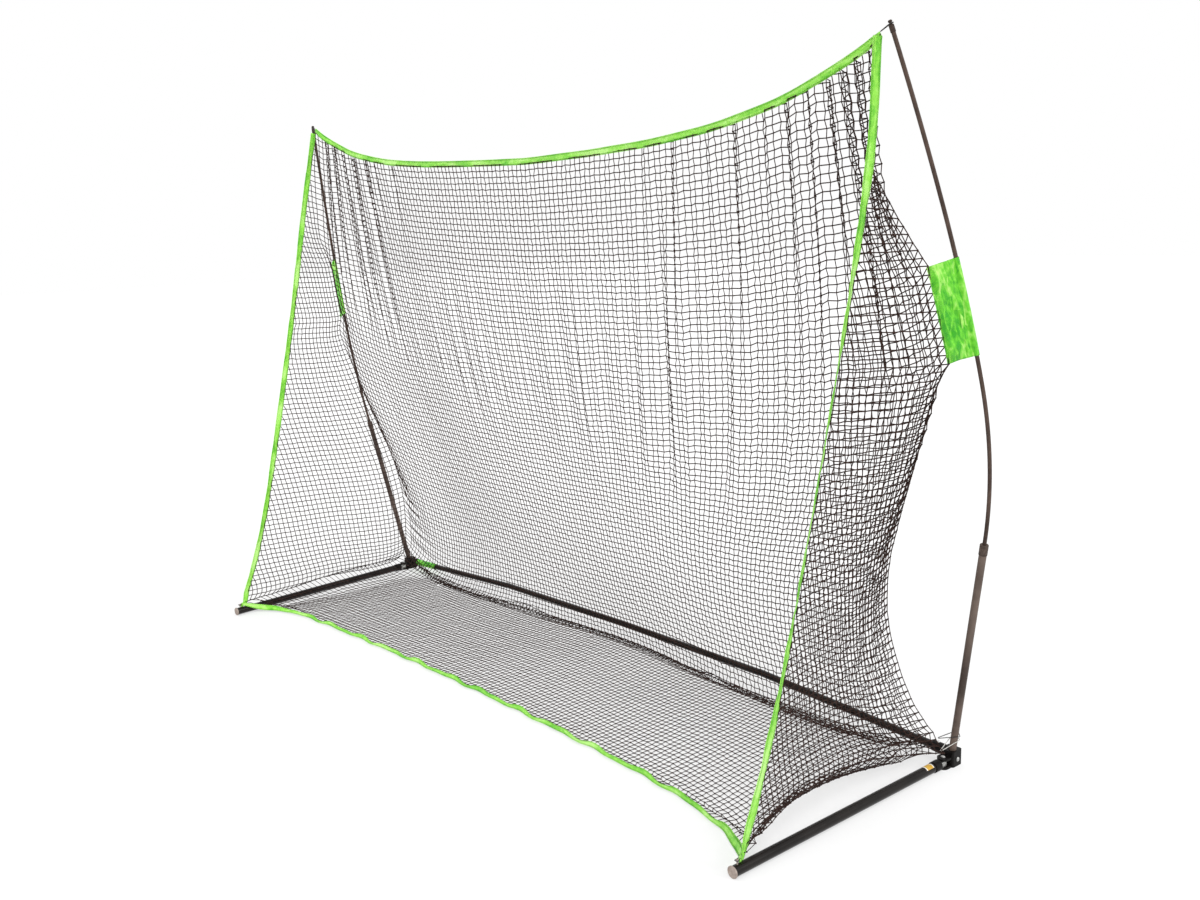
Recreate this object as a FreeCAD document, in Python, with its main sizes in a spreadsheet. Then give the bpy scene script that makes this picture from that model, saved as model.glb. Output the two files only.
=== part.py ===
import FreeCAD, Part
import math
import os
import Sketcher
from FreeCAD import Placement, Rotation, Vector

# A large free-standing golf practice net: a steel base of one sectioned rear rail and two
# side legs, two bowed fibreglass rods standing in the corner hubs, and a knotted net bag
# bound in webbing that the rods hold open.
# +X is to the right seen from the front, the open mouth faces -Y and +Z is up.  The origin
# is on the floor under the middle of the object's box.

# ---------------------------------------------------------------- driving dimensions (mm)

DIMENSIONS = {
    # layout
    "half_span": 1525,
    "hub_line": 440.6,
    "leg_reach": 947,
    "toe_in": 3.05,
    "leg_axis_height": 17,
    "rail_axis_height": 36,
    # corner hub
    "hub_side": 46,
    "hub_height": 50,
    "hub_corner_radius": 6,
    "rail_socket_outer": 34,
    "rail_socket_reach": 62,
    "rail_socket_floor": 18,
    "upright_socket_floor": 8,
    "socket_clearance": 0.05,
    # leg hinge
    "pivot_ahead": 41,
    "fork_width": 36,
    "fork_lower_top": 6.9,
    "fork_upper_bottom": 27.1,
    "fork_upper_top": 34.1,
    "tongue_width": 22,
    "tongue_height": 18,
    "tongue_length": 26,
    "tongue_plug_length": 40,
    "pivot_hole": 8,
    "pivot_bolt": 7.9,
    "pivot_head": 14,
    "pivot_head_height": 5,
    "nut_circumradius": 7.4,
    "nut_height": 3.6,
    "nut_pocket_depth": 4,
    "washer_outer": 20,
    "washer_thickness": 0.9,
    # leg
    "leg_outer": 30,
    "leg_bore": 27,
    "collar_outer": 34,
    "collar_length": 27,
    "end_cap_outer": 34,
    "end_cap_thickness": 4,
    "end_cap_plug": 22,
    "peg_outer": 4,
    "peg_head": 7,
    "peg_height": 13,
    "peg_setback": 16,
    "sticker_length": 34,
    "sticker_setback": 62,
    "sticker_thickness": 0.2,
    # rear rail
    "rail_outer": 25,
    "rail_bore": 22.6,
    "rail_joint_x": 750,
    "rail_quarter_back": 42,
    "rail_quarter_rise": 22,
    "rail_middle_back": 50,
    "rail_middle_rise": 25,
    "spigot_outer": 20.2,
    "spigot_bore": 17.8,
    "spigot_length": 45,
    "spigot_step": 3,
    "joint_gap": 1.2,
    # snap buttons in the rail joints
    "button_outer": 7.7,
    "button_hole": 7.8,
    "button_flange": 10,
    "button_flange_low": 5.9,
    "button_flange_top": 7.0,
    "button_shoulder": 13.2,
    "button_top": 15.2,
    "spring_strip": 0.8,
    "spring_width": 7,
    "spring_length": 30,
    # screws
    "lock_screw_shank": 6,
    "lock_screw_head": 14,
    "lock_screw_length": 9,
    "lock_screw_height": 22,
    "rail_screw_shank": 5,
    "rail_screw_head": 9,
    "rail_screw_length": 4.2,
    "rail_screw_distance": 46,
    # uprights
    "upright_outer": 22,
    "upright_bore": 19.6,
    "upright_length": 750,
    "upright_cross_height": 12,
    "lean_out": 0.1932,
    "lean_forward": 0.1303,
    "reducer_outer": 24.6,
    "reducer_skirt": 28,
    "reducer_lip": 4,
    "reducer_sleeve": 19.4,
    "reducer_depth": 50,
    # bowed rods
    "rod_outer": 11.5,
    "rod_bore": 7,
    "rod_seat": 46,
    "rod_section": 474.5,
    "lower_bend": 17.4,
    "middle_bend": 4.8,
    "upper_bend": 2.7,
    "bow_inward": 0.98,
    "bow_forward": 0.2,
    "pin_outer": 6.4,
    "pin_bore": 3.6,
    "pin_length": 60,
    "shock_cord": 3,
    "tip_outer": 14,
    "tip_length": 32,
    "tip_bore_depth": 18,
    "tip_neck": 7,
    "tip_ball": 11,
    # soft parts
    "sheet_thickness": 1.2,
    "hem_width": 24,
    "tie_cord": 2.5,
    "sleeve_start": 76,
    "sleeve_length": 266,
    "sleeve_bore": 13,
    "sleeve_outer": 16,
    "tab_width": 84,
    "strap_bore": 25.6,
    "strap_outer": 28,
    "strap_start": 66,
    "strap_length": 150,
}

doc = FreeCAD.newDocument("golf_net")
sheet = doc.addObject("Spreadsheet::Sheet", "Dimensions")
for row, (alias, value) in enumerate(DIMENSIONS.items(), start=1):
    sheet.set(f"A{row}", alias)
    sheet.set(f"B{row}", str(value))
    sheet.setAlias(f"B{row}", alias)
doc.recompute()

SIDES = {"left": -1, "right": 1}
X_AXIS = Vector(1, 0, 0)
Y_AXIS = Vector(0, 1, 0)
Z_AXIS = Vector(0, 0, 1)
subparts = []


def size(alias):
    """The number in one cell of the sheet."""
    return float(sheet.get(alias))


def amount(expression):
    """The value that an expression on the sheet's cells gives, as a bare number."""
    value = sheet.evalExpression(expression)
    return float(getattr(value, "Value", value))


def cell(alias):
    return f"Dimensions.{alias}"


def half(alias):
    return f"Dimensions.{alias} / 2"


# ---------------------------------------------------------------------- building blocks


def frame_from(origin, along, toward):
    """A placement whose Z runs along one vector, with X leaning as near as it can to another."""
    z = Vector(along).normalize()
    x = Vector(toward) - z * z.dot(Vector(toward))
    x.normalize()
    return Placement(origin, Rotation(x, z.cross(x), z, "ZXY"))


def cylinder(radius, height, at=Placement()):
    solid = doc.addObject("Part::Cylinder", "cylinder")
    solid.setExpression("Radius", radius)
    solid.setExpression("Height", height)
    solid.Placement = at
    return solid


def block(length, width, height, at=Placement()):
    """A box centred on its own X and Y, standing on its own Z = 0."""
    solid = doc.addObject("Part::Box", "block")
    solid.setExpression("Length", length)
    solid.setExpression("Width", width)
    solid.setExpression("Height", height)
    centred = Placement(Vector(-amount(length) / 2, -amount(width) / 2, 0), Rotation())
    solid.Placement = at * centred
    return solid


def arc_bar(radius, bend_radius, bend):
    """A round bar that leaves its own origin along Z and bends towards its own X."""
    bar = doc.addObject("Part::Torus", "arc_bar")
    bar.setExpression("Radius1", bend_radius)
    bar.setExpression("Radius2", radius)
    bar.setExpression("Angle3", bend)
    centre = Vector(amount(bend_radius), 0, 0)
    bar.Placement = Placement(centre, Rotation(-X_AXIS, Z_AXIS, Y_AXIS, "ZXY"))
    return bar


def fused(solids):
    result = doc.addObject("Part::MultiFuse", "fused")
    result.Shapes = solids
    return result


def cut(base, tools):
    result = doc.addObject("Part::Cut", "cut")
    result.Base = base
    result.Tool = tools[0] if len(tools) == 1 else fused(tools)
    return result


def rounded(base, radius, chosen):
    """Rounds the edges of a solid that the chosen test picks."""
    doc.recompute()
    edges = [number for number, edge in enumerate(base.Shape.Edges, start=1) if chosen(edge)]
    result = doc.addObject("Part::Fillet", "rounded")
    result.Base = base
    result.Edges = [(number, size(radius), size(radius)) for number in edges]
    return result


def turned(name, outline):
    """A PartDesign body turned about its Z axis; each corner of its outline is a radius and
    a height, both expressions on the sheet that are zero or more."""
    body = doc.addObject("PartDesign::Body", name)
    sketch = body.newObject("Sketcher::SketchObject", name + "_outline")
    plane = next(f for f in body.Origin.OriginFeatures if f.Role == "XZ_Plane")
    sketch.AttachmentSupport = [(plane, "")]
    sketch.MapMode = "FlatFace"
    corners = [Vector(amount(radius), amount(height), 0) for radius, height in outline]
    count = len(corners)
    for number, corner in enumerate(corners):
        sketch.addGeometry(Part.LineSegment(corner, corners[(number + 1) % count]), False)
    for number in range(count):
        following = (number + 1) % count
        sketch.addConstraint(Sketcher.Constraint("Coincident", number, 2, following, 1))
    for number, (corner, expressions) in enumerate(zip(corners, outline)):
        for kind, place, expression, axis in (
            ("DistanceX", corner.x, expressions[0], -2),
            ("DistanceY", corner.y, expressions[1], -1),
        ):
            if abs(place) < 1e-9:
                sketch.addConstraint(Sketcher.Constraint("PointOnObject", number, 1, axis))
                continue
            sketch.addConstraint(Sketcher.Constraint(kind, -1, 1, number, 1, place))
            sketch.setExpression(f"Constraints[{sketch.ConstraintCount - 1}]", expression)
    turning = body.newObject("PartDesign::Revolution", name + "_turned")
    turning.Profile = sketch
    turning.ReferenceAxis = (sketch, ["V_Axis"])
    turning.Angle = 360
    return body


def publish(result, label, place=Placement()):
    """Names a finished sub-part and puts it in its place."""
    result.Label = label
    result.Placement = place
    subparts.append(result)
    return result


def publish_group(results, label, places):
    """One sub-part made of identical pieces that stay separate solids."""
    for result, place in zip(results, places):
        result.Placement = place
    group = doc.addObject("Part::Compound", "group")
    group.Links = results
    return publish(group, label)


def publish_shape(label, shape):
    feature = doc.addObject("Part::Feature", label)
    feature.Shape = shape
    return publish(feature, label)


# ------------------------------------------------------------------------------- layout


def hub_frame(side):
    """Floor point under a hub's centre, turned with the leg that toes in."""
    origin = Vector(side * size("half_span"), size("hub_line"), 0)
    return Placement(origin, Rotation(Z_AXIS, -side * size("toe_in")))


def leg_frame(side):
    """The hinge pin's line at the leg's axis height, with Z forward along the leg."""
    here = Placement(
        Vector(0, -size("pivot_ahead"), size("leg_axis_height")),
        Rotation(X_AXIS, Z_AXIS, -Y_AXIS, "ZXY"),
    )
    return hub_frame(side) * here


def rail_point(station):
    """Joint number -2 to 2 of the rear rail, which bows back and up between the hubs."""
    side = 1 if station > 0 else -1
    here = {
        0: Vector(0, size("rail_middle_back"), size("rail_middle_rise")),
        1: Vector(
            side * size("rail_joint_x"), size("rail_quarter_back"), size("rail_quarter_rise")
        ),
        2: Vector(side * size("half_span"), 0, 0),
    }[abs(station)]
    return here + Vector(0, size("hub_line"), size("rail_axis_height"))


def rail_frame(station, onward):
    """Starts at one joint of the rail, with Z towards the next and X to the rear."""
    start = rail_point(station)
    return frame_from(start, rail_point(station + onward) - start, Y_AXIS)


def button_frame(station):
    """Z leaves the rail's axis to the rear, square to the rail at a joint."""
    along = rail_point(station + 1) - rail_point(station - 1)
    back = Y_AXIS - along * (along.dot(Y_AXIS) / along.dot(along))
    return frame_from(rail_point(station), back, along)


def upright_frame(side):
    """The foot of an upright in its socket, with Z up it and X in its bending direction."""
    axis = Vector(side * size("lean_out"), -size("lean_forward"), 1)
    through = Vector(
        side * size("half_span"), size("hub_line"), size("upright_cross_height")
    )
    rise = size("upright_socket_floor") - size("upright_cross_height")
    bow = Vector(-side * size("bow_inward"), -size("bow_forward"), 0)
    return frame_from(through + axis * rise, axis, bow)


def shifted(frame, x=0, y=0, z=0):
    return frame * Placement(Vector(x, y, z), Rotation())


BENDS = ("lower_bend", "middle_bend", "upper_bend")


def bend_radius(bend):
    return f"Dimensions.rod_section / (Dimensions.{bend} * pi / 180)"


def bent_on(frame, bend, share=1.0):
    """The frame reached after going along part of one bent rod section."""
    angle = size(bend) * share
    radius = amount(bend_radius(bend))
    turn = math.radians(angle)
    step = Vector(radius * (1 - math.cos(turn)), 0, radius * math.sin(turn))
    return frame * Placement(step, Rotation(Y_AXIS, angle))


def rod_frames(side):
    """Where each rod section starts to bend, and last where the rod ends."""
    start = shifted(upright_frame(side), z=size("upright_length") + size("reducer_lip"))
    frames = [start]
    for bend in BENDS:
        frames.append(bent_on(frames[-1], bend))
    return frames


# ---------------------------------------------------------------------------- rear rail


def rail_section(station, near_end, far_end):
    """The rail tube from one joint to the next, in its own frame.  A female end runs half
    the spigot's length past its joint; a male end is drawn down to a spigot that reaches
    as far into its neighbour; a hub end stops on the floor of the hub's socket."""
    length = (rail_point(station + 1) - rail_point(station)).Length
    overlap = size("spigot_length") / 2
    shoulder = overlap + size("joint_gap")
    reach = {"hub": -size("rail_socket_floor"), "female": overlap, "male": -shoulder}
    start = -reach[near_end]
    stop = length + reach[far_end]
    at_start = shifted(Placement(), z=start)
    tube = [cylinder(half("rail_outer"), f"{stop - start}", at_start)]
    bores = [cylinder(half("rail_bore"), f"{stop - start}", at_start)]
    if far_end == "male":
        tip = length + overlap
        narrow_from = stop - size("spigot_step")
        spigot = shifted(Placement(), z=narrow_from)
        tube.append(cylinder(half("spigot_outer"), f"{tip - narrow_from}", spigot))
        bores = [
            cylinder(half("rail_bore"), f"{narrow_from - start}", at_start),
            cylinder(half("spigot_bore"), f"{tip - start}", at_start),
        ]
    here = rail_frame(station, 1)
    for joint in (station, station + 1):
        if abs(joint) < 2:
            hole = cylinder(half("button_hole"), "20")
            hole.Placement = here.inverse() * button_frame(joint)
            bores.append(hole)
    return cut(fused(tube) if len(tube) > 1 else tube[0], bores)


def build_rail():
    ends = (
        (-2, "rear_rail_left_outer", "hub", "male"),
        (-1, "rear_rail_left_inner", "female", "male"),
        (0, "rear_rail_right_inner", "female", "male"),
        (1, "rear_rail_right_outer", "female", "hub"),
    )
    for station, label, near_end, far_end in ends:
        publish(rail_section(station, near_end, far_end), label, rail_frame(station, 1))


def button(name):
    """A flanged pin with a domed head; its Z = 0 is the flange's inner face."""
    low = cell("button_flange_low")
    top = f"{cell('button_top')} - {low}"
    return turned(
        name,
        [
            ("0", "0"),
            (half("button_flange"), "0"),
            (half("button_flange"), f"{cell('button_flange_top')} - {low}"),
            (half("button_outer"), f"{cell('button_flange_top')} - {low}"),
            (half("button_outer"), f"{cell('button_shoulder')} - {low}"),
            (f"{half('button_outer')} * 0.8", f"{cell('button_shoulder')} - {low} + 1.2"),
            (f"{half('button_outer')} * 0.4", f"{top} - 0.2"),
            ("0", top),
        ],
    )


def snap_spring():
    """A U of spring strip that lies in the rail and carries the button's flange."""
    rise = size("button_flange_low") + size("spigot_bore") / 2 - 1.4
    outside = block(cell("spring_length"), cell("spring_width"), f"{rise}")
    strip = size("spring_strip")
    inside = block(cell("spring_length"), "20", f"{rise - 2 * strip}")
    inside.Placement = Placement(
        Vector(-size("spring_length") / 2 + strip, -10, strip), Rotation()
    )
    return cut(outside, [inside])


def build_buttons():
    springs = []
    places = []
    for station, name in ((-1, "left"), (0, "middle"), (1, "right")):
        frame = button_frame(station)
        label = f"rail_button_{name}"
        publish(button(label), label, shifted(frame, z=size("button_flange_low")))
        springs.append(snap_spring())
        places.append(shifted(frame, x=-6, z=-size("spigot_bore") / 2 + 1.1))
    publish_group(springs, "snap_springs", places)


# --------------------------------------------------------------------------- corner hub


def hub(side):
    """A moulded corner block with a rail socket, an upright socket and a fork for the leg."""
    doc.recompute()
    frame = hub_frame(side)
    local = frame.inverse()
    body = rounded(
        block(cell("hub_side"), cell("hub_side"), cell("hub_height")),
        "hub_corner_radius",
        lambda edge: abs(edge.BoundBox.ZLength - size("hub_height")) < 0.01,
    )
    inward = -1 if side > 0 else 1
    rail = local * rail_frame(2 * side, inward)
    socket = cylinder(half("rail_socket_outer"), cell("rail_socket_reach"), rail)
    pieces = [body, socket]
    ahead = Vector(0, -size("pivot_ahead"), 0)
    for low, high in (("0", cell("fork_lower_top")), (cell("fork_upper_bottom"), cell("fork_upper_top"))):
        thickness = f"{high} - {low}"
        base = Vector(0, 0, amount(low))
        ear = cylinder(half("fork_width"), thickness, Placement(ahead + base, Rotation()))
        plate_length = size("pivot_ahead")
        middle = Vector(0, -plate_length / 2, 0)
        plate = block(
            cell("fork_width"), f"{plate_length}", thickness, Placement(middle + base, Rotation())
        )
        pieces += [ear, plate]
    upright = local * upright_frame(side)
    clearance = cell("socket_clearance")
    tools = [
        cylinder(f"{half('upright_outer')} + {clearance}", "80", upright),
        cylinder(
            f"{half('rail_outer')} + {clearance}",
            "80",
            shifted(rail, z=size("rail_socket_floor")),
        ),
        cylinder(half("pivot_hole"), cell("fork_upper_top"), Placement(ahead, Rotation())),
        cylinder(half("lock_screw_shank"), "30", lock_screw_place(side)),
        cylinder(half("rail_screw_shank"), "30", local * rail_screw_place(side)),
    ]
    pocket = doc.addObject("Part::Prism", "nut_pocket")
    pocket.Polygon = 6
    pocket.setExpression("Circumradius", f"{cell('nut_circumradius')} + 0.1")
    pocket.setExpression("Height", cell("nut_pocket_depth"))
    pocket.Placement = Placement(ahead, Rotation())
    tools.append(pocket)
    return cut(fused(pieces), tools)


def lock_screw_place(side):
    """The outer face of the hub, with Z inward to the upright's foot."""
    face = Vector(side * size("hub_side") / 2, 0, size("lock_screw_height"))
    return frame_from(face, Vector(-side, 0, 0), Z_AXIS)


def rail_screw_place(side):
    """The top of the rail socket, with Z down to the rail's axis."""
    inward = -1 if side > 0 else 1
    rail = rail_frame(2 * side, inward)
    along = shifted(rail, z=size("rail_screw_distance"))
    direction = rail.Rotation.multVec(Y_AXIS)
    if direction.z > 0:
        direction = direction * -1
    top = along.Base - direction * (size("rail_socket_outer") / 2)
    return frame_from(top, direction, rail.Rotation.multVec(Z_AXIS))


def screw(name, shank, head, length):
    """Round-headed screw whose head's seat is at the top of its shank."""
    return turned(
        name,
        [
            ("0", "0"),
            (half(shank), "0"),
            (half(shank), cell(length)),
            (half(head), cell(length)),
            (half(head), f"{cell(length)} + 1.6"),
            (f"{half(head)} * 0.7", f"{cell(length)} + 3.2"),
            ("0", f"{cell(length)} + 4"),
        ],
    )


def head_up(place, length):
    """Turns a screw's place, whose Z goes in, so that the screw's own Z comes out."""
    return shifted(place, z=length) * Placement(Vector(), Rotation(X_AXIS, 180))


def build_hubs():
    for name, side in SIDES.items():
        publish(hub(side), f"hub_{name}", hub_frame(side))
    locks = []
    lock_places = []
    rails = []
    rail_places = []
    for name, side in SIDES.items():
        locks.append(
            screw(f"lock_screw_{name}", "lock_screw_shank", "lock_screw_head", "lock_screw_length")
        )
        place = hub_frame(side) * lock_screw_place(side)
        lock_places.append(head_up(place, size("lock_screw_length")))
        rails.append(
            screw(f"rail_screw_{name}", "rail_screw_shank", "rail_screw_head", "rail_screw_length")
        )
        rail_places.append(head_up(rail_screw_place(side), size("rail_screw_length")))
    publish_group(locks, "upright_lock_screws", lock_places)
    publish_group(rails, "rail_screws", rail_places)


# ---------------------------------------------------------------------------- leg hinge


def pivot_bolt(name):
    """The hinge pin, from inside the nut up to its domed head on the fork."""
    shank = cell("fork_upper_top")
    return turned(
        name,
        [
            ("0", "0"),
            (half("pivot_bolt"), "0"),
            (half("pivot_bolt"), f"{shank} - 0.5"),
            (half("pivot_head"), f"{shank} - 0.5"),
            (half("pivot_head"), f"{shank} - 0.5 + {cell('pivot_head_height')} * 0.4"),
            (f"{half('pivot_head')} * 0.7", f"{shank} - 0.5 + {cell('pivot_head_height')} * 0.85"),
            ("0", f"{shank} - 0.5 + {cell('pivot_head_height')}"),
        ],
    )


def pivot_nut():
    nut = doc.addObject("Part::Prism", "nut")
    nut.Polygon = 6
    nut.setExpression("Circumradius", cell("nut_circumradius"))
    nut.setExpression("Height", cell("nut_height"))
    return cut(nut, [cylinder(half("pivot_hole"), cell("nut_height"))])


def build_hinges():
    bolts = []
    nuts = []
    washers = []
    places = {"bolt": [], "nut": [], "washer": []}
    play = 0.05
    for name, side in SIDES.items():
        floor = shifted(hub_frame(side), y=-size("pivot_ahead"))
        bolts.append(pivot_bolt(f"pivot_bolt_{name}"))
        places["bolt"].append(shifted(floor, z=0.5))
        nuts.append(pivot_nut())
        places["nut"].append(shifted(floor, z=0.3))
        lower = size("fork_lower_top") + play
        upper = size("fork_upper_bottom") - play - size("washer_thickness")
        for height in (lower, upper):
            ring = cylinder(half("washer_outer"), cell("washer_thickness"))
            washers.append(cut(ring, [cylinder(half("pivot_hole"), cell("washer_thickness"))]))
            places["washer"].append(shifted(floor, z=height))
    publish_group(bolts, "pivot_bolts", places["bolt"])
    publish_group(nuts, "pivot_nuts", places["nut"])
    publish_group(washers, "pivot_washers", places["washer"])


# --------------------------------------------------------------------------------- legs


def leg_tongue():
    """A steel bar with a rounded eye on the pin, and a round plug that fills the leg."""
    tall = cell("tongue_height")
    upright_eye = Placement(
        Vector(0, -size("tongue_height") / 2, 0), Rotation(X_AXIS, -90)
    )
    eye = cylinder(half("tongue_width"), tall, upright_eye)
    bar = block(cell("tongue_width"), tall, cell("tongue_length"))
    plug = cylinder(
        f"{half('leg_bore')} - {cell('socket_clearance')}",
        cell("tongue_plug_length"),
        shifted(Placement(), z=size("tongue_length")),
    )
    hole = cylinder(half("pivot_hole"), tall, upright_eye)
    return cut(fused([eye, bar, plug]), [hole])


def leg_length():
    return (
        f"{cell('leg_reach')} - {cell('pivot_ahead')} - {cell('tongue_length')}"
        f" - {cell('end_cap_thickness')}"
    )


def leg_tube(side):
    """The leg from its hinge tongue to its end cap, with the hole for the net's peg."""
    tube = cylinder(half("leg_outer"), leg_length())
    bore = cylinder(half("leg_bore"), leg_length())
    place = shifted(leg_frame(side), z=size("tongue_length"))
    hole = cylinder(f"{half('peg_outer')} + 0.05", "30")
    hole.Placement = place.inverse() * peg_place(side)
    return cut(tube, [bore, hole])


def peg_place(side):
    """The crown of the leg's bore near its front end, with Z up."""
    front = amount(leg_length()) + size("tongue_length") - size("peg_setback")
    foot = shifted(leg_frame(side), z=front).Base
    return Placement(foot + Vector(0, 0, size("leg_bore") / 2), Rotation())


def net_peg(name):
    """A small headed peg that the net's front corner is tied to."""
    height = cell("peg_height")
    return turned(
        name,
        [
            ("0", "0"),
            (half("peg_outer"), "0"),
            (half("peg_outer"), height),
            (half("peg_head"), f"{height} + 0.6"),
            (half("peg_head"), f"{height} + 2.2"),
            (f"{half('peg_head')} * 0.6", f"{height} + 3.4"),
            ("0", f"{height} + 3.8"),
        ],
    )


def end_cap(name):
    """A capped plug: its disc closes the leg and is the front foot."""
    disc = half("end_cap_outer")
    plug = f"{half('leg_bore')} - {cell('socket_clearance')}"
    thickness = cell("end_cap_thickness")
    return turned(
        name,
        [
            ("0", "0"),
            (f"{disc} - 1.5", "0"),
            (disc, "1.2"),
            (disc, thickness),
            (plug, thickness),
            (plug, f"{thickness} + {cell('end_cap_plug')}"),
            ("0", f"{thickness} + {cell('end_cap_plug')}"),
        ],
    )


def sticker():
    """A blank label wrapped over the crown of the right leg beside its collar."""
    inner = f"{half('leg_outer')} + 0.02"
    outer = f"{half('leg_outer')} + 0.02 + {cell('sticker_thickness')}"
    ring = cylinder(outer, cell("sticker_length"))
    ring.Angle = 110
    return cut(ring, [cylinder(inner, cell("sticker_length"))])


def build_legs():
    for name, side in SIDES.items():
        frame = leg_frame(side)
        publish(leg_tongue(), f"leg_tongue_{name}", frame)
        publish(leg_tube(side), f"leg_tube_{name}", shifted(frame, z=size("tongue_length")))
        ring = cylinder(half("collar_outer"), cell("collar_length"))
        bore = cylinder(f"{half('leg_outer')} + {cell('socket_clearance')}", cell("collar_length"))
        collar_start = size("tongue_length") - 1
        publish(cut(ring, [bore]), f"leg_collar_{name}", shifted(frame, z=collar_start))
        front = shifted(frame, z=size("leg_reach") - size("pivot_ahead"))
        facing_back = Placement(Vector(), Rotation(X_AXIS, 180))
        publish(end_cap(f"leg_end_cap_{name}"), f"leg_end_cap_{name}", front * facing_back)
        peg = net_peg(f"net_peg_{name}")
        publish(peg, f"net_peg_{name}", shifted(peg_place(side), z=0.2))
    label_start = shifted(leg_frame(1), z=size("sticker_setback"))
    publish(sticker(), "leg_sticker", label_start * Placement(Vector(), Rotation(Z_AXIS, 35)))


# ------------------------------------------------------------------------------ uprights


def upright_tube():
    tube = cylinder(half("upright_outer"), cell("upright_length"))
    return cut(tube, [cylinder(half("upright_bore"), cell("upright_length"))])


def reducer(name):
    """A plastic bush and skirt on the steel tube's top, which holds the thin rod."""
    bore = f"{half('rod_outer')} + {cell('socket_clearance')}"
    depth = cell("reducer_depth")
    skirt = f"{depth} - {cell('reducer_skirt')}"
    return turned(
        name,
        [
            (bore, "0"),
            (half("reducer_sleeve"), "0"),
            (half("reducer_sleeve"), f"{depth} + 0.05"),
            (f"{half('upright_outer')} + 0.05", f"{depth} + 0.05"),
            (f"{half('upright_outer')} + 0.05", skirt),
            (half("reducer_outer"), skirt),
            (half("reducer_outer"), f"{depth} + {cell('reducer_lip')} - 1.5"),
            (f"{half('reducer_outer')} - 1.5", f"{depth} + {cell('reducer_lip')}"),
            (bore, f"{depth} + {cell('reducer_lip')}"),
        ],
    )


def rod_section(bend, seat=None):
    """One fibreglass tube of the rod; the lowest has a straight seat below its bend."""
    outer = [arc_bar(half("rod_outer"), bend_radius(bend), cell(bend))]
    inner = [arc_bar(half("rod_bore"), bend_radius(bend), cell(bend))]
    if seat:
        below = Placement(Vector(0, 0, -size(seat)), Rotation())
        outer.append(cylinder(half("rod_outer"), cell(seat), below))
        inner.append(cylinder(half("rod_bore"), cell(seat), below))
    return cut(fused(outer) if seat else outer[0], inner)


def tip_cap(name):
    """The rod's plastic tip: a skirt over the rod, a neck for the net's tie and a ball."""
    bore = f"{half('rod_outer')} + {cell('socket_clearance')}"
    length = cell("tip_length")
    return turned(
        name,
        [
            ("0", cell("tip_bore_depth")),
            (bore, cell("tip_bore_depth")),
            (bore, "0"),
            (half("tip_outer"), "0"),
            (half("tip_outer"), f"{length} - 13"),
            (half("tip_neck"), f"{length} - 11"),
            (half("tip_neck"), f"{length} - 7"),
            (half("tip_ball"), f"{length} - 5.5"),
            (half("tip_ball"), f"{length} - 2.5"),
            (f"{half('tip_ball')} * 0.6", f"{length} - 0.6"),
            ("0", length),
        ],
    )


def build_uprights():
    pins = []
    pin_places = []
    for name, side in SIDES.items():
        frame = upright_frame(side)
        publish(upright_tube(), f"upright_tube_{name}", frame)
        bush = reducer(f"reducer_{name}")
        bush_depth = size("upright_length") - size("reducer_depth")
        publish(bush, f"reducer_{name}", shifted(frame, z=bush_depth))
        frames = rod_frames(side)
        parts = ("lower", "middle", "upper")
        for part, bend, start in zip(parts, BENDS, frames):
            seat = "rod_seat" if part == "lower" else None
            publish(rod_section(bend, seat), f"rod_{part}_{name}", start)
        for joint in frames[1:3]:
            pin = cylinder(half("pin_outer"), cell("pin_length"))
            pins.append(cut(pin, [cylinder(half("pin_bore"), cell("pin_length"))]))
            pin_places.append(shifted(joint, z=-size("pin_length") / 2))
        publish_shape(f"rod_shock_cord_{name}", shock_cord(frames))
        cap_place = shifted(frames[-1], z=0.1 - size("tip_bore_depth"))
        publish(tip_cap(f"tip_cap_{name}"), f"tip_cap_{name}", cap_place)
    publish_group(pins, "rod_joint_pins", pin_places)


def shock_cord(frames):
    """The elastic that threads a rod from its seat to its tip, along the rod's own bends."""
    start = frames[0].Base - frames[0].Rotation.multVec(Z_AXIS) * (size("rod_seat") - 5)
    points = [start, frames[0].Base]
    edges = [Part.LineSegment(*points).toShape()]
    for bend, first, last in zip(BENDS, frames, frames[1:]):
        middle = bent_on(first, bend, 0.5).Base
        edges.append(Part.Arc(first.Base, middle, last.Base).toShape())
    circle = Part.Circle(start, frames[0].Rotation.multVec(Z_AXIS), size("shock_cord") / 2)
    section = Part.Face(Part.Wire(circle.toShape()))
    return Part.Wire(edges).makePipe(section)


# ---------------------------------------------------------------------------- soft parts


def thin_sheet(grid, thickness):
    """A closed sheet through rows of points, as flat triangles on both faces and a rim."""
    rows = len(grid)
    columns = len(grid[0])

    def normal(row, column):
        down = grid[min(row + 1, rows - 1)][column] - grid[max(row - 1, 0)][column]
        across = grid[row][min(column + 1, columns - 1)] - grid[row][max(column - 1, 0)]
        return down.cross(across).normalize()

    def layer(offset):
        return [
            [grid[r][c] + normal(r, c) * offset for c in range(columns)] for r in range(rows)
        ]

    front = layer(thickness / 2)
    back = layer(-thickness / 2)
    quads = []
    for r in range(rows - 1):
        for c in range(columns - 1):
            for skin in (front, back):
                quads.append((skin[r][c], skin[r][c + 1], skin[r + 1][c + 1], skin[r + 1][c]))
    for r in range(rows - 1):
        for c in (0, columns - 1):
            quads.append((front[r][c], front[r + 1][c], back[r + 1][c], back[r][c]))
    for c in range(columns - 1):
        for r in (0, rows - 1):
            quads.append((front[r][c], front[r][c + 1], back[r][c + 1], back[r][c]))
    faces = []
    for a, b, c, d in quads:
        faces.append(Part.Face(Part.makePolygon([a, b, c, a])))
        faces.append(Part.Face(Part.makePolygon([a, c, d, a])))
    shell = Part.Shell(faces)
    shell.sewShape()
    solid = Part.Solid(shell)
    if solid.Volume < 0:
        solid.reverse()
    return solid


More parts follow.
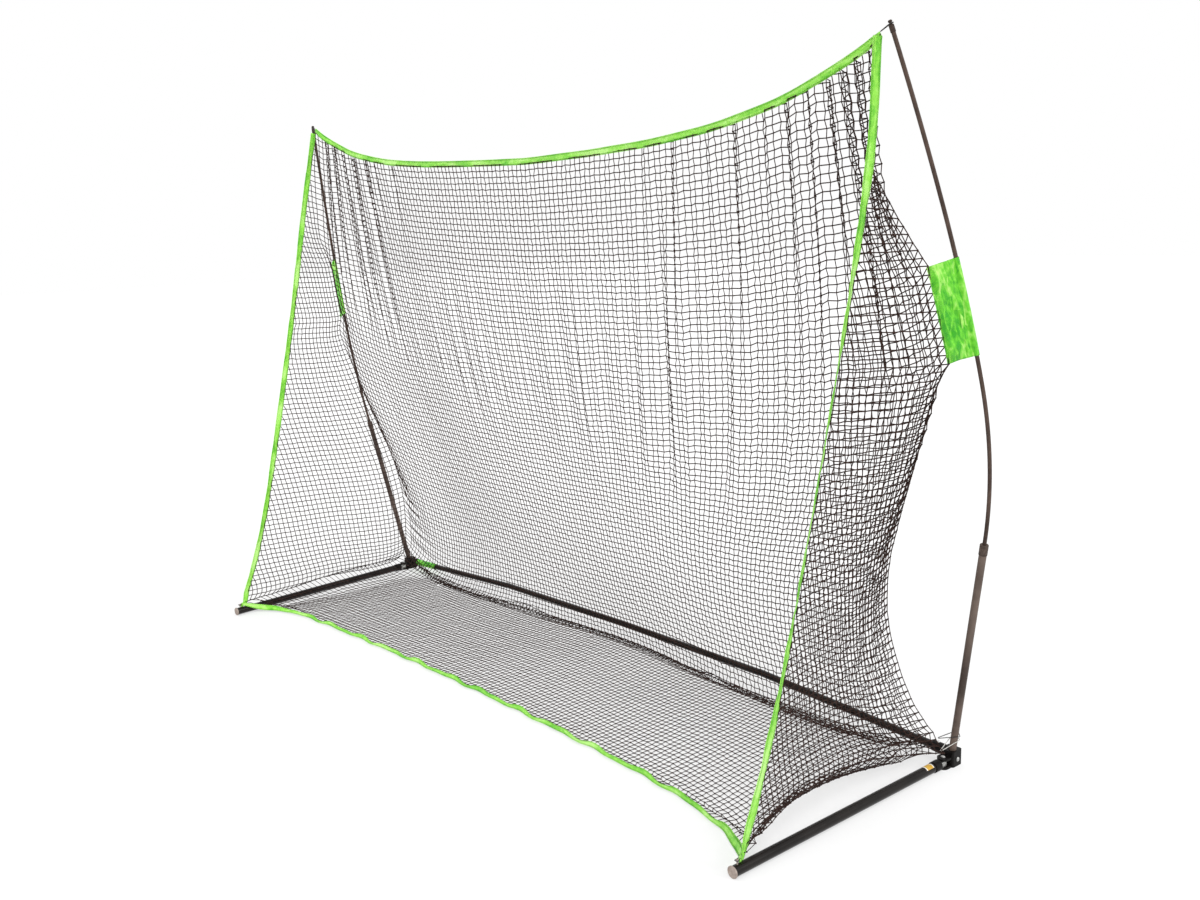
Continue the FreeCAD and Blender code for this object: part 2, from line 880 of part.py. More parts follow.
def local(x, y, z):
    """A point given from the floor under the middle of the hub line."""
    return Vector(x, y + size("hub_line"), z)


def blend_points(first, second, share):
    return first + (second - first) * share


def along_polyline(corners, height):
    """The point at one height on a line through corners listed from the top down."""
    for upper, lower in zip(corners, corners[1:]):
        if upper.z >= height >= lower.z:
            return blend_points(upper, lower, (upper.z - height) / (upper.z - lower.z))
    return corners[0] if height > corners[0].z else corners[-1]


# The mouth's front edge, and the net's rear corner line, both on the right-hand side.
MOUTH_EDGE = [(1493, -366, 2098), (1508, -428, 1780), (1500, -538, 1285), (1484, -704, 600),
              (1474, -874, 54)]
CORNER_LINE = [(1486, -352, 2078), (1502, -406, 1780), (1596, -316, 1532), (1634, -264, 1286),
               (1550, -245, 950), (1462, -218, 620), (1450, -122, 300), (1492, -46, 84)]
HEM_GAP = 4
FLOOR_GAP = 1


def side_line(corners, side):
    return [local(side * x, y, z) for x, y, z in corners]


def hem_sag(x):
    """Height of the mouth's top edge, which hangs in a curve between the rod tips."""
    reach = abs(x) / 1493
    return 1896 + 202 * (0.35 * reach**2 + 0.65 * reach**5)


def foot_front(station):
    """How far the mouth's foot stands ahead of the hub line: it is drawn back between the legs."""
    return -(690 + 62 * station**2 + 110 * station**14)


def seam_back(x):
    """How far the foot of the back panel stands behind the hub line."""
    return 22 - 70 * (x / 1494) ** 2


def net_side(side):
    """The side panel, from the mouth's edge to the net's rear corner line."""
    front = side_line(MOUTH_EDGE, side)
    rear = side_line(CORNER_LINE, side)
    heights = (2040, 1910, 1780, 1660, 1532, 1410, 1286, 1118, 950, 785, 620, 460, 300, 190, 84)
    grid = []
    for height in heights:
        first = along_polyline(front, height)
        last = along_polyline(rear, height)
        lift = 62 * math.exp(-(((height - 84) / 60) ** 2))
        row = []
        for step in range(6):
            share = 0.006 + 0.986 * step / 5
            point = blend_points(first, last, share)
            point.z += lift * math.sin(math.pi * share)
            row.append(point)
        grid.append(row)
    return thin_sheet(grid, size("sheet_thickness"))


def net_back():
    """The back panel, hung from the mouth's top edge and gathered to the corner lines."""
    right = side_line(CORNER_LINE, 1)
    stations = [step / 10 for step in range(-10, 11)]
    levels = (1.0, 0.86, 0.72, 0.58, 0.44, 0.3, 0.16, 0.05)
    grid = []
    for level in levels:
        row = []
        for station in stations:
            x_top = 1476 * station
            top = hem_sag(x_top) - size("hem_width") - HEM_GAP
            foot = 46
            height = foot + (top - foot) * level
            corner = along_polyline(right, min(height, 2078))
            width = corner.x - 9
            x = station * (width * (1 - level**6) + 1476 * level**6)
            middle = -366 + 366 * (1 - level) ** 1.5 + seam_back(x) * (1 - level)
            edge = corner.y - size("hub_line")
            share = abs(station) ** 4
            depth = middle * (1 - share) + edge * share
            row.append(local(x, depth, height))
        grid.append(row)
    return thin_sheet(grid, size("sheet_thickness"))


def net_floor():
    """The floor panel, which lies on the ground and is drawn up at both sides."""
    stations = [step / 8 for step in range(-8, 9)]
    grid = []
    for depth_share in (0.0, 0.2, 0.4, 0.6, 0.8, 1.0):
        row = []
        for station in stations:
            x = 1466 * station
            front = foot_front(station)
            rear = seam_back(x) - 16
            y = front + (rear - front) * depth_share
            rise = 58 + 48 * math.sin(math.pi * depth_share)
            lift = rise * max(0.0, (abs(station) - 0.82) / 0.18)
            row.append(local(x, y, FLOOR_GAP + lift))
        grid.append(row)
    return thin_sheet(grid, size("sheet_thickness"))


def hem_top():
    """The binding along the mouth's sagging top edge."""
    rows = []
    for drop in (0, size("hem_width")):
        row = []
        for step in range(-10, 11):
            x = 1476 * step / 10
            row.append(local(x, -366, hem_sag(x) - drop))
        rows.append(row)
    return thin_sheet(rows, size("sheet_thickness"))


def hem_side(side):
    """The binding down one side of the mouth, from the rod's tip to the leg's end."""
    edge = side_line(MOUTH_EDGE, side)
    width = size("hem_width")
    rows = []
    for ahead in (HEM_GAP, HEM_GAP + width):
        row = []
        for height in (2080, 1780, 1530, 1285, 940, 600, 330, 74):
            point = along_polyline(edge, height)
            row.append(point + Vector(0, -ahead, -ahead * 0.25))
        rows.append(row)
    return thin_sheet(rows, size("sheet_thickness"))


def hem_bottom():
    """The binding along the mouth's foot, which lies on the floor between the legs."""
    rows = []
    for ahead in (HEM_GAP + 1, HEM_GAP + 1 + size("hem_width")):
        row = []
        for step in range(-10, 11):
            station = step / 10
            x = 1462 * station
            front = foot_front(station)
            lift = 50 * max(0.0, (abs(station) - 0.85) / 0.15)
            row.append(local(x, front - ahead, FLOOR_GAP + lift))
        rows.append(row)
    return thin_sheet(rows, size("sheet_thickness"))


def rod_sleeve(side):
    """The side tab: one folded sheet that rings the rod and runs out as a flap to the net."""
    start = rod_frames(side)[1]
    ring = (size("sleeve_bore") + size("sheet_thickness")) / 2 + 0.2
    columns = []
    reaches = (size("tab_width"), size("tab_width") / 2, ring + 4)
    turns = [math.radians(18 + 324 * step / 18) for step in range(19)]
    for reach in reaches:
        columns.append([(reach, 0.0)] * 7)
    for turn in turns:
        columns.append([(ring * math.cos(turn), ring * math.sin(turn))] * 7)
    grid = []
    for column in columns:
        points = []
        for number, (ahead, aside) in enumerate(column):
            distance = size("sleeve_start") + size("sleeve_length") * number / 6
            here = bent_on(start, "middle_bend", distance / size("rod_section"))
            up = here.Rotation.multVec(Z_AXIS)
            toward = Vector(-0.45 * side, -0.89, -0.06)
            toward = (toward - up * toward.dot(up)).normalize()
            across = up.cross(toward)
            points.append(here.Base + toward * ahead + across * (aside * side))
        grid.append(points)
    return thin_sheet(grid, size("sheet_thickness"))


def rail_strap():
    """The fabric sleeve on the rail beside the left hub."""
    ring = cylinder(half("strap_outer"), cell("strap_length"))
    return cut(ring, [cylinder(half("strap_bore"), cell("strap_length"))])


def cord_loop(first, second, post, radius):
    """A closed loop of cord that rings a post at its second point and ends at its first."""
    cord = size("tie_cord") / 2
    gap = radius + cord + 0.4
    run = second - first
    along = Vector(run).normalize()
    across = along.cross(post).normalize()
    above = along.cross(across)
    pieces = []
    for sign in (-1, 1):
        pieces.append(Part.makeCylinder(cord, run.Length, first + across * (gap * sign), run))
    for centre, outward in ((first, -1), (second, 1)):
        half_ring = Part.makeTorus(gap, cord, Vector(), Z_AXIS, 0, 360, 180)
        half_ring.Placement = Placement(
            centre, Rotation(across, along * outward, above * outward, "XYZ")
        )
        pieces.append(half_ring)
    return pieces[0].multiFuse(pieces[1:])


def level_with(point, centre, post):
    """The point moved along the post's direction until it is square to the centre."""
    return point - post * post.dot(point - centre)


def build_ties():
    for name, side in SIDES.items():
        top = rod_frames(side)[-1]
        neck = shifted(top, z=size("tip_length") - size("tip_bore_depth") - 9).Base
        post = top.Rotation.multVec(Z_AXIS)
        corner = level_with(local(side * 1500, -370, 2106), neck, post)
        radius = size("tip_neck") / 2
        publish_shape(f"top_tie_{name}", cord_loop(corner, neck, post, radius))
        peg = peg_place(side).Base + Vector(0, 0, 9)
        hem = level_with(side_line(MOUTH_EDGE, side)[-1] + Vector(0, -38, 0), peg, Z_AXIS)
        radius = size("peg_outer") / 2
        publish_shape(f"front_tie_{name}", cord_loop(hem, peg, Z_AXIS, radius))
        upright = upright_frame(side)
        post = upright.Rotation.multVec(Z_AXIS)
        radius = size("upright_outer") / 2
        grip = shifted(upright, z=92).Base
        rear = side_line(CORNER_LINE, side)[-1] + Vector(-side * 2, 14, 14)
        rear = level_with(rear, grip, post)
        publish_shape(f"rear_tie_{name}", cord_loop(rear, grip, post, radius))
    foot = upright_frame(1)
    grip = shifted(foot, z=74).Base
    hook = local(1517, -52, 58)
    post = foot.Rotation.multVec(Z_AXIS)
    tie = cord_loop(level_with(hook, grip, post), grip, post, size("upright_outer") / 2)
    publish_shape("rear_elastic_right", tie)


def build_soft_parts():
    publish_shape("net_back", net_back())
    publish_shape("net_floor", net_floor())
    publish_shape("hem_top", hem_top())
    publish_shape("hem_bottom", hem_bottom())
    for name, side in SIDES.items():
        publish_shape(f"net_side_{name}", net_side(side))
        publish_shape(f"hem_{name}", hem_side(side))
        publish_shape(f"rod_sleeve_{name}", rod_sleeve(side))
    strap_place = shifted(rail_frame(-2, 1), z=size("strap_start"))
    publish(rail_strap(), "rail_strap", strap_place)
    build_ties()


# ------------------------------------------------------------------------- build and save


def check_and_save():
    """Stops on any failed object or bad shape, then writes each sub-part to its own file."""
    doc.recompute()
    for item in doc.Objects:
        broken = [state for state in item.State if state in ("Invalid", "Error")]
        if broken:
            raise RuntimeError(f"{item.Name} ({item.Label}) failed: {broken}")
    for result in subparts:
        shape = result.Shape
        if shape.isNull() or not shape.isValid() or not shape.Solids:
            raise RuntimeError(f"{result.Label} has no valid solid")
    os.makedirs("parts", exist_ok=True)
    for old in os.listdir("parts"):
        os.remove(os.path.join("parts", old))
    for result in subparts:
        result.Shape.exportStep(os.path.join("parts", result.Label + ".step"))
    print(len(subparts), "sub-parts written")


build_rail()
build_buttons()
build_hubs()
build_hinges()
build_legs()
build_uprights()
build_soft_parts()
check_and_save()
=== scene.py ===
import math

import bpy
import numpy as np
from mathutils import Matrix, Vector, noise


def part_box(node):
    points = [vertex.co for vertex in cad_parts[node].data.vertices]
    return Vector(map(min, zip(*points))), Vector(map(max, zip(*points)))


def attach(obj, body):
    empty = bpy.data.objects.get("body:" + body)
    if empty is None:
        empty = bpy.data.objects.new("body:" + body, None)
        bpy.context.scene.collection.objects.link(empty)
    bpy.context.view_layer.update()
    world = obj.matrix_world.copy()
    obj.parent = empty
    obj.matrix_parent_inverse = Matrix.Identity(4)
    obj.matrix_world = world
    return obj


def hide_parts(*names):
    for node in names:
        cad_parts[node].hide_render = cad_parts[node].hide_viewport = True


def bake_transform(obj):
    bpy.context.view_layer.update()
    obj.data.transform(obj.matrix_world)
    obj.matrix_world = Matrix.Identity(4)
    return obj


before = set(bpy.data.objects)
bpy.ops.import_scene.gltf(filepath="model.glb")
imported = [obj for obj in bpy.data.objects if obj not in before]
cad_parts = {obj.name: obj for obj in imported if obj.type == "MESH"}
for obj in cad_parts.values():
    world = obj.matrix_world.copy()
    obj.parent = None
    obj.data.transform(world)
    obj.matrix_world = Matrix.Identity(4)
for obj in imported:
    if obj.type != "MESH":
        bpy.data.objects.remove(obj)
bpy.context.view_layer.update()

# Looks of a large free-standing golf practice net.  Metres, in the row frame: +X right, the
# mouth faces -Y, +Z up.  Soft parts are first worked out from the floor under the middle of
# the hub line, which lies HUB_LINE behind the row's origin, and are moved there by placed().

SIDES = {"left": -1, "right": 1}
FRAME = "frame"
HUB_LINE = 0.4406
X_AXIS = np.array((1.0, 0.0, 0.0))
Y_AXIS = np.array((0.0, 1.0, 0.0))
Z_AXIS = np.array((0.0, 0.0, 1.0))
rng = np.random.default_rng(7)


# ---------------- camera

# Solved from the object's straight lines in the photograph; angles in degrees, lens in mm.
CAMERA_PLACE = (3.2598, -2.4798, 1.6448)
CAMERA_YAW = 48.613
CAMERA_DOWN = 11.029
CAMERA_ROLL = -1.887
CAMERA_LENS = 34.1


def add_camera():
    data = bpy.data.cameras.new("camera")
    data.lens = CAMERA_LENS
    data.sensor_width = 36
    data.clip_end = 60
    camera = bpy.data.objects.new("camera", data)
    turn = Matrix.Rotation(math.radians(CAMERA_YAW), 4, "Z")
    tilt = Matrix.Rotation(math.radians(90 - CAMERA_DOWN), 4, "X")
    roll = Matrix.Rotation(math.radians(CAMERA_ROLL), 4, "Z")
    camera.matrix_world = Matrix.Translation(CAMERA_PLACE) @ turn @ tilt @ roll
    bpy.context.scene.collection.objects.link(camera)
    bpy.context.scene.camera = camera


# ---------------- material building


def connect(node, **inputs):
    """Sets or links a node's inputs, named with _ for a space, or in0, in1 by number."""
    for key, value in inputs.items():
        by_number = key[:2] == "in" and key[2:].isdigit()
        socket = node.inputs[int(key[2:])] if by_number else node.inputs[key.replace("_", " ")]
        if isinstance(value, bpy.types.NodeSocket):
            node.id_data.links.new(value, socket)
        else:
            socket.default_value = value


class Finish:
    """A material in the making: most methods add a shader node and give its output."""

    def __init__(self):
        self.material = bpy.data.materials.new("finish")
        self.material.use_nodes = True
        self.tree = self.material.node_tree

    def done(self, **inputs):
        connect(self.tree.nodes["Principled BSDF"], **inputs)
        return self.material

    def node(self, kind, output=0, settings=None, **inputs):
        made = self.tree.nodes.new("ShaderNode" + kind)
        for key, value in (settings or {}).items():
            setattr(made, key, value)
        connect(made, **inputs)
        return made.outputs[output]

    def point(self, stretch=(1, 1, 1)):
        place = self.node("TexCoord", "Object")
        return self.node("Mapping", Vector=place, Scale=stretch)

    def strip(self, stretch=(1, 1, 1), turn=0.0):
        """Metres along and across a strip of fabric."""
        place = self.node("UVMap", "UV", {"uv_map": "strip"})
        return self.node("Mapping", Vector=place, Rotation=(0, 0, turn), Scale=stretch)

    def cloudy(self, point, scale, detail=3.0, roughness=0.55):
        settings = {"Scale": scale, "Detail": detail, "Roughness": roughness}
        return self.node("TexNoise", "Fac", Vector=point, **settings)

    def banded(self, point, scale, direction, distortion=0.0):
        bands = {"wave_type": "BANDS", "bands_direction": direction}
        settings = {"Scale": scale, "Distortion": distortion}
        return self.node("TexWave", "Fac", bands, Vector=point, **settings)

    def between(self, amount, low, high, from_low=0.0, from_high=1.0):
        """A number that goes from low to high as the amount goes over its range."""
        reach = {"From_Min": from_low, "From_Max": from_high, "To_Min": low, "To_Max": high}
        return self.node("MapRange", "Result", Value=amount, **reach)

    def tinted(self, amount, *stops):
        """A colour ramp with (place, colour) stops."""
        shade = self.node("ValToRGB", "Color", Fac=amount)
        elements = shade.node.color_ramp.elements
        while len(elements) < len(stops):
            elements.new(0.5)
        for element, (place, tint) in zip(elements, stops):
            element.position = place
            element.color = tint
        return shade

    def mixed(self, factor, first, second):
        made = self.node("Mix", 0, {"data_type": "RGBA"}, Factor=factor, A=first, B=second).node
        return next(socket for socket in made.outputs if socket.type == "RGBA")

    def maths(self, operation, *values):
        inputs = {f"in{number}": value for number, value in enumerate(values)}
        return self.node("Math", 0, {"operation": operation}, **inputs)

    def raised(self, height, distance, strength=1.0):
        return self.node("Bump", Height=height, Distance=distance, Strength=strength)


def colour(*screen):
    """A linear colour from red, green and blue as 8-bit screen values."""
    linear = [((v / 255 + 0.055) / 1.055) ** 2.4 if v > 10 else v / 3295 for v in screen]
    return (*linear, 1.0)


# ---------------- materials


def painted_steel(dark, light, rough_low, rough_high, coat):
    """Sprayed tube: faint orange peel, a little dust and fine rubbed scratches."""
    made = Finish()
    dust = made.cloudy(made.point(), 9.0, 4.0)
    scratches = made.cloudy(made.point((240, 18, 240)), 1.0, 2.0)
    worn = made.between(scratches, 0.0, 1.0, 0.68, 0.74)
    dusty = made.tinted(dust, (0.35, dark), (0.7, light))
    rough = made.between(dust, rough_low, rough_high, 0.35, 0.7)
    peel = made.cloudy(made.point(), 700.0, 1.0)
    return made.done(
        Base_Color=made.mixed(made.maths("MULTIPLY", worn, 0.35), dusty, light),
        Roughness=made.maths("ADD", rough, made.maths("MULTIPLY", worn, 0.1)),
        Specular_IOR_Level=0.16,
        Coat_Weight=coat,
        Coat_Roughness=0.18,
        Normal=made.raised(peel, 0.0002, 0.35),
    )


def fibreglass():
    """Pultruded rod: fine fibres along it under a satin skin."""
    made = Finish()
    fibres = made.cloudy(made.point((900, 900, 25)), 1.0, 3.0)
    patches = made.cloudy(made.point(), 14.0, 2.0)
    both = made.maths("MULTIPLY", made.maths("ADD", fibres, patches), 0.5)
    return made.done(
        Base_Color=made.tinted(both, (0.35, colour(44, 33, 28)), (0.65, colour(92, 75, 66))),
        Roughness=made.between(fibres, 0.3, 0.5),
        Specular_IOR_Level=0.2,
        Normal=made.raised(fibres, 0.0001, 0.4),
    )


def moulded(dark, light, rough):
    """Injection-moulded plastic with a fine spark-eroded grain."""
    made = Finish()
    grain = made.cloudy(made.point(), 1400.0, 2.0)
    scuffs = made.cloudy(made.point(), 60.0, 5.0, 0.7)
    return made.done(
        Base_Color=made.tinted(scuffs, (0.4, dark), (0.75, light)),
        Roughness=made.between(scuffs, rough, rough + 0.2, 0.35, 0.75),
        Specular_IOR_Level=0.12,
        Normal=made.raised(grain, 0.0001, 0.5),
    )


def plated(dark, light, rough, stretch, scale):
    """Bright plated or bare spring steel."""
    made = Finish()
    spangle = made.cloudy(made.point(stretch), scale, 3.0)
    return made.done(
        Base_Color=made.tinted(spangle, (0.3, dark), (0.7, light)),
        Metallic=1.0,
        Roughness=made.between(spangle, rough, rough + 0.18),
        Normal=made.raised(spangle, 0.00008, 0.4),
    )


def net_twine():
    """Twisted polyester twine, treated dark brown-black."""
    made = Finish()
    plies = made.banded(made.point(), 520.0, "DIAGONAL", 1.5)
    fuzz = made.cloudy(made.point(), 55.0, 4.0)
    return made.done(
        Base_Color=made.tinted(fuzz, (0.3, colour(30, 16, 11)), (0.72, colour(62, 43, 37))),
        Roughness=made.between(plies, 0.72, 0.92),
        Specular_IOR_Level=0.2,
        Normal=made.raised(plies, 0.0003, 0.5),
    )


def green_nylon(dark, middle, light, facet):
    """Coated lime-green taffeta: a tight plain weave, crushed into flat planes, the given number
    of them to the metre. The light and shade of these planes, the shade of the folds, bright
    lines along the creases and broad lighter and darker lengths are painted into the colour."""
    made = Finish()
    warp = made.banded(made.strip(), 800.0, "X")
    weft = made.banded(made.strip(), 800.0, "Y")
    weave = made.maths("MULTIPLY", warp, weft)
    # Painted shade: soft darker and lighter patches where the cloth folds.
    fold_painted_shade = made.cloudy(made.strip((1, 1.6, 1)), 60.0, 4.0, 0.6)
    # Painted light and shade: each flat facet gets its own tone, as if it caught the light
    # differently.
    slanted = made.strip((0.34, 1.25, 1), math.radians(38))
    facet_painted_light = made.node("TexVoronoi", "Color", Vector=slanted, Scale=facet)
    edges = {"feature": "DISTANCE_TO_EDGE"}
    from_edge = made.node("TexVoronoi", "Distance", edges, Vector=slanted, Scale=facet * 0.7)
    # Painted highlights: thin bright lines along the facet edges, where the creases catch the
    # light.
    painted_crease_highlights = made.between(from_edge, 0.16, 0.0, 0.0, 0.14)
    # Painted light: broad lighter and darker lengths along the strip.
    broad_painted_light = made.cloudy(made.strip(), 4.5, 1.0)
    # All the painted light and shade summed; the same value also gives the roughness and the
    # creases' bump.
    painted_light_and_creases = made.maths("MULTIPLY_ADD", facet_painted_light, 0.34, made.maths("MULTIPLY", fold_painted_shade, 0.64))
    painted_light_and_creases = made.maths("ADD", painted_light_and_creases, painted_crease_highlights)
    painted_light_and_creases = made.maths("ADD", painted_light_and_creases, made.between(broad_painted_light, -0.14, 0.14, 0.32, 0.68))
    creased = made.maths("MULTIPLY", painted_light_and_creases, 6.0)
    return made.done(
        Base_Color=made.tinted(painted_light_and_creases, (0.30, dark), (0.52, middle), (0.78, light)),
        Roughness=made.between(painted_light_and_creases, 0.34, 0.52),
        Sheen_Weight=0.1,
        Specular_IOR_Level=0.4,
        Normal=made.raised(made.maths("ADD", creased, weave), 0.0004),
    )


def sewing_thread():
    made = Finish()
    # Diagonal twist bands; the colour ramp makes their grooves darker: painted shade.
    twist_with_painted_shade = made.banded(made.point(), 1500.0, "DIAGONAL")
    return made.done(
        Base_Color=made.tinted(twist_with_painted_shade, (0.2, colour(30, 116, 14)), (0.8, colour(74, 168, 38))),
        Roughness=0.55,
        Normal=made.raised(twist_with_painted_shade, 0.0001, 0.5),
    )


def braided(dark, light):
    """Elastic cord in a braided jacket; the grooves between its strands are darker: painted shade.
    """
    made = Finish()
    one = made.banded(made.point(), 650.0, "DIAGONAL")
    other = made.banded(made.point((-1, 1, 1)), 650.0, "DIAGONAL")
    # Where the strands cross high the cord is lighter, in the grooves darker: painted shade.
    braid_with_painted_shade = made.maths("MULTIPLY", one, other)
    return made.done(
        Base_Color=made.tinted(braid_with_painted_shade, (0.05, dark), (0.6, light)),
        Roughness=made.between(braid_with_painted_shade, 0.6, 0.8),
        Sheen_Weight=0.2,
        Normal=made.raised(braid_with_painted_shade, 0.0004, 0.7),
    )


# How far from the label's middle its white border starts.
LABEL_BORDER = 0.0135


def blank_label():
    """A gold label with a white border and nothing printed on it."""
    made = Finish()
    low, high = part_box("leg_sticker")
    place = made.node("TexCoord", "Object")
    subtract = {"operation": "SUBTRACT"}
    moved = made.node("VectorMath", 0, subtract, in0=place, in1=(low + high) / 2)
    along = made.maths("ABSOLUTE", made.node("SeparateXYZ", "Y", Vector=moved))
    border = made.maths("GREATER_THAN", along, LABEL_BORDER)
    foil = made.cloudy(made.point(), 400.0, 3.0)
    gold = made.tinted(foil, (0.3, colour(176, 132, 30)), (0.7, colour(214, 172, 62)))
    return made.done(
        Base_Color=made.mixed(border, gold, colour(236, 232, 222)),
        Roughness=made.between(foil, 0.3, 0.45),
    )


def make_materials():
    """Every material by its name."""
    made = {
        "steel_black": painted_steel(colour(10, 7, 5), colour(26, 21, 18), 0.2, 0.32, 0.18),
        "steel_grey": painted_steel(colour(64, 54, 49), colour(108, 94, 86), 0.34, 0.5, 0.0),
        "fibreglass": fibreglass(),
        "black_plastic": moulded(colour(9, 7, 7), colour(28, 25, 24), 0.38),
        "brown_plastic": moulded(colour(44, 34, 30), colour(74, 62, 56), 0.42),
        "taupe_plastic": moulded(colour(60, 50, 45), colour(104, 90, 82), 0.42),
        "pale_plastic": moulded(colour(140, 126, 118), colour(178, 166, 157), 0.45),
        "zinc": plated(colour(150, 150, 148), colour(205, 205, 202), 0.25, (1, 1, 1), 220.0),
        "spring_steel": plated(colour(96, 96, 98), colour(150, 150, 152), 0.3, (1, 8, 8), 90.0),
        "net_cord": net_twine(),
        "green_binding": green_nylon(
            colour(100, 200, 34), colour(150, 232, 74), colour(190, 250, 132), 28.0
        ),
        "green_webbing": green_nylon(
            colour(50, 176, 8), colour(116, 222, 42), colour(200, 250, 132), 60.0
        ),
        "sewing_thread": sewing_thread(),
        "tie_cord": braided(colour(12, 10, 10), colour(52, 46, 44)),
        "white_elastic": braided(colour(170, 168, 162), colour(232, 230, 224)),
        "label": blank_label(),
    }
    for name, material in made.items():
        material.name = name
    return made


# The finish of each CAD node, by how its name starts.
FINISHED_NODES = {
    "steel_black": ("rear_rail", "leg_tube"),
    "steel_grey": ("upright_tube",),
    "fibreglass": ("rod_lower", "rod_middle", "rod_upper"),
    "black_plastic": ("hub", "leg_collar"),
    "taupe_plastic": ("reducer",),
    "brown_plastic": ("tip_cap",),
    "pale_plastic": ("leg_end_cap", "net_peg", "pivot_washers"),
    "zinc": (
        "leg_tongue", "pivot_bolts", "pivot_nuts", "upright_lock_screws", "rail_screws",
        "rail_button", "rod_joint_pins",
    ),
    "spring_steel": ("snap_springs",),
    "white_elastic": ("rod_shock_cord",),
    "label": ("leg_sticker",),
}


def finish_cad_nodes(materials):
    for name, cad_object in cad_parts.items():
        for finish, starts in FINISHED_NODES.items():
            if name.startswith(starts):
                for material_slot in cad_object.material_slots:
                    material_slot.material = materials[finish]


# ---------------- mesh helpers


def unit(vectors):
    length = np.linalg.norm(vectors, axis=-1, keepdims=True)
    return vectors / np.maximum(length, 1e-12)


def facing_of(grid):
    """The normals of a grid of points."""
    return unit(np.cross(np.gradient(grid, axis=1), np.gradient(grid, axis=0)))


def squared(direction, line):
    """Directions made square to a line at each of its points."""
    tangent = unit(np.gradient(line, axis=0))
    return unit(direction - tangent * np.sum(direction * tangent, axis=1, keepdims=True))


def stretched(near, far, left, right):
    """A surface stretched between four edges that share their corners."""
    v = np.linspace(0, 1, len(left))[:, None, None]
    s = np.linspace(0, 1, len(near))[None, :, None]
    grid = (1 - v) * near + v * far + (1 - s) * left[:, None] + s * right[:, None]
    grid = grid - (1 - v) * ((1 - s) * near[0] + s * near[-1])
    return grid - v * ((1 - s) * far[0] + s * far[-1])


def placed(points):
    """Points given from under the hub line, in the row frame."""
    return np.asarray(points, float) + (0.0, HUB_LINE, 0.0)


def add_mesh(name, points, faces, materials, face_materials=None, strip=None):
    """A mesh object.  strip gives each vertex metres along and across the fabric."""
    mesh = bpy.data.meshes.new(name)
    mesh.from_pydata(np.asarray(points, float).tolist(), [], faces)
    for material in materials:
        mesh.materials.append(material)
    if face_materials is not None:
        mesh.polygons.foreach_set("material_index", np.asarray(face_materials, np.int32))
    mesh.polygons.foreach_set("use_smooth", np.ones(len(mesh.polygons), bool))
    if strip is not None:
        layer = mesh.uv_layers.new(name="strip")
        corners = np.zeros(len(mesh.loops), np.int32)
        mesh.loops.foreach_get("vertex_index", corners)
        layer.data.foreach_set("uv", np.asarray(strip, np.float32)[corners].ravel())
    mesh.update()
    made = bpy.data.objects.new(name, mesh)
    bpy.context.scene.collection.objects.link(made)
    return made


def smooth_line(points, count):
    """Evenly spaced points on a smooth curve through the given ones."""
    points = np.array(points, float)
    if len(points) == 2:
        return evenly(points, count)
    padded = np.vstack([2 * points[0] - points[1], points, 2 * points[-1] - points[-2]])
    t = np.linspace(0, 1, 24, endpoint=False)[:, None]
    runs = []
    for a, b, c, d in zip(padded, padded[1:], padded[2:], padded[3:]):
        cubic = (3 * b - a - 3 * c + d) * t**3
        square = (2 * a - 5 * b + 4 * c - d) * t**2
        runs.append(0.5 * (2 * b + (c - a) * t + square + cubic))
    return evenly(np.vstack(runs + [points[-1:]]), count)


def distances(points):
    """How far along a line each of its points is."""
    steps = np.linalg.norm(np.diff(points, axis=0), axis=1)
    return np.concatenate([[0], np.cumsum(steps)])


def evenly(points, count):
    """Points at even steps along a line.  A list of shares may stand for the count."""
    along = distances(points)
    shares = np.linspace(0, 1, count) if np.isscalar(count) else np.asarray(count)
    at = shares * along[-1]
    return np.stack([np.interp(at, along, points[:, k]) for k in range(3)], axis=1)


def joined(runs, count):
    """Even points on several runs end to end, with the corners between them kept."""
    line = np.vstack([smooth_line(run, 40)[(i > 0):] for i, run in enumerate(runs)])
    return evenly(line, count)


def mirrored(points, side):
    return [(side * x, y, z) for x, y, z in points]


def stand_in(piece, body, replaced):
    """Puts a piece on a body, in the place of a CAD node."""
    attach(piece, body)
    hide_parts(replaced)


def rough_field(points, size, seed):
    """Smooth noise from -1 to 1 with features of about the given size."""
    shift = Vector((seed * 11.3, seed * 5.7, seed * 3.1))
    flat = points.reshape(-1, 3)
    values = [noise.noise(Vector(p) / size + shift) for p in flat]
    return np.array(values).reshape(points.shape[:-1])


def thin_sheet(grid, thickness):
    """A closed sheet round a grid of points; thickness may vary over the grid's rows.
    Returns points, faces, strip coordinates and the sheet's normals."""
    rows, columns = grid.shape[:2]
    normal = facing_of(grid)
    half = normal * (np.asarray(thickness, float).reshape(-1, 1, 1) / 2)
    points = np.vstack([(grid + half).reshape(-1, 3), (grid - half).reshape(-1, 3)])
    index = np.arange(rows * columns).reshape(rows, columns)
    lower = index + rows * columns
    faces = []
    for number in range((rows - 1) * (columns - 1)):
        r, c = divmod(number, columns - 1)
        for side, order in ((index, 1), (lower, -1)):
            square = [side[r, c], side[r + 1, c], side[r + 1, c + 1], side[r, c + 1]]
            faces.append([square[0], *square[1:][::order]])
    rim = [*index[0, :], *index[1:, -1], *index[-1, -2::-1], *index[-2:0:-1, 0]]
    for a, b in zip(rim, rim[1:] + rim[:1]):
        faces.append((a, b, b + rows * columns, a + rows * columns))
    u = distances(grid[rows // 2])
    v = distances(grid[:, columns // 2])
    strip = np.stack(np.broadcast_arrays(u[None, :], v[:, None]), axis=-1).reshape(-1, 2)
    return points, [tuple(int(i) for i in f) for f in faces], np.vstack([strip, strip]), normal


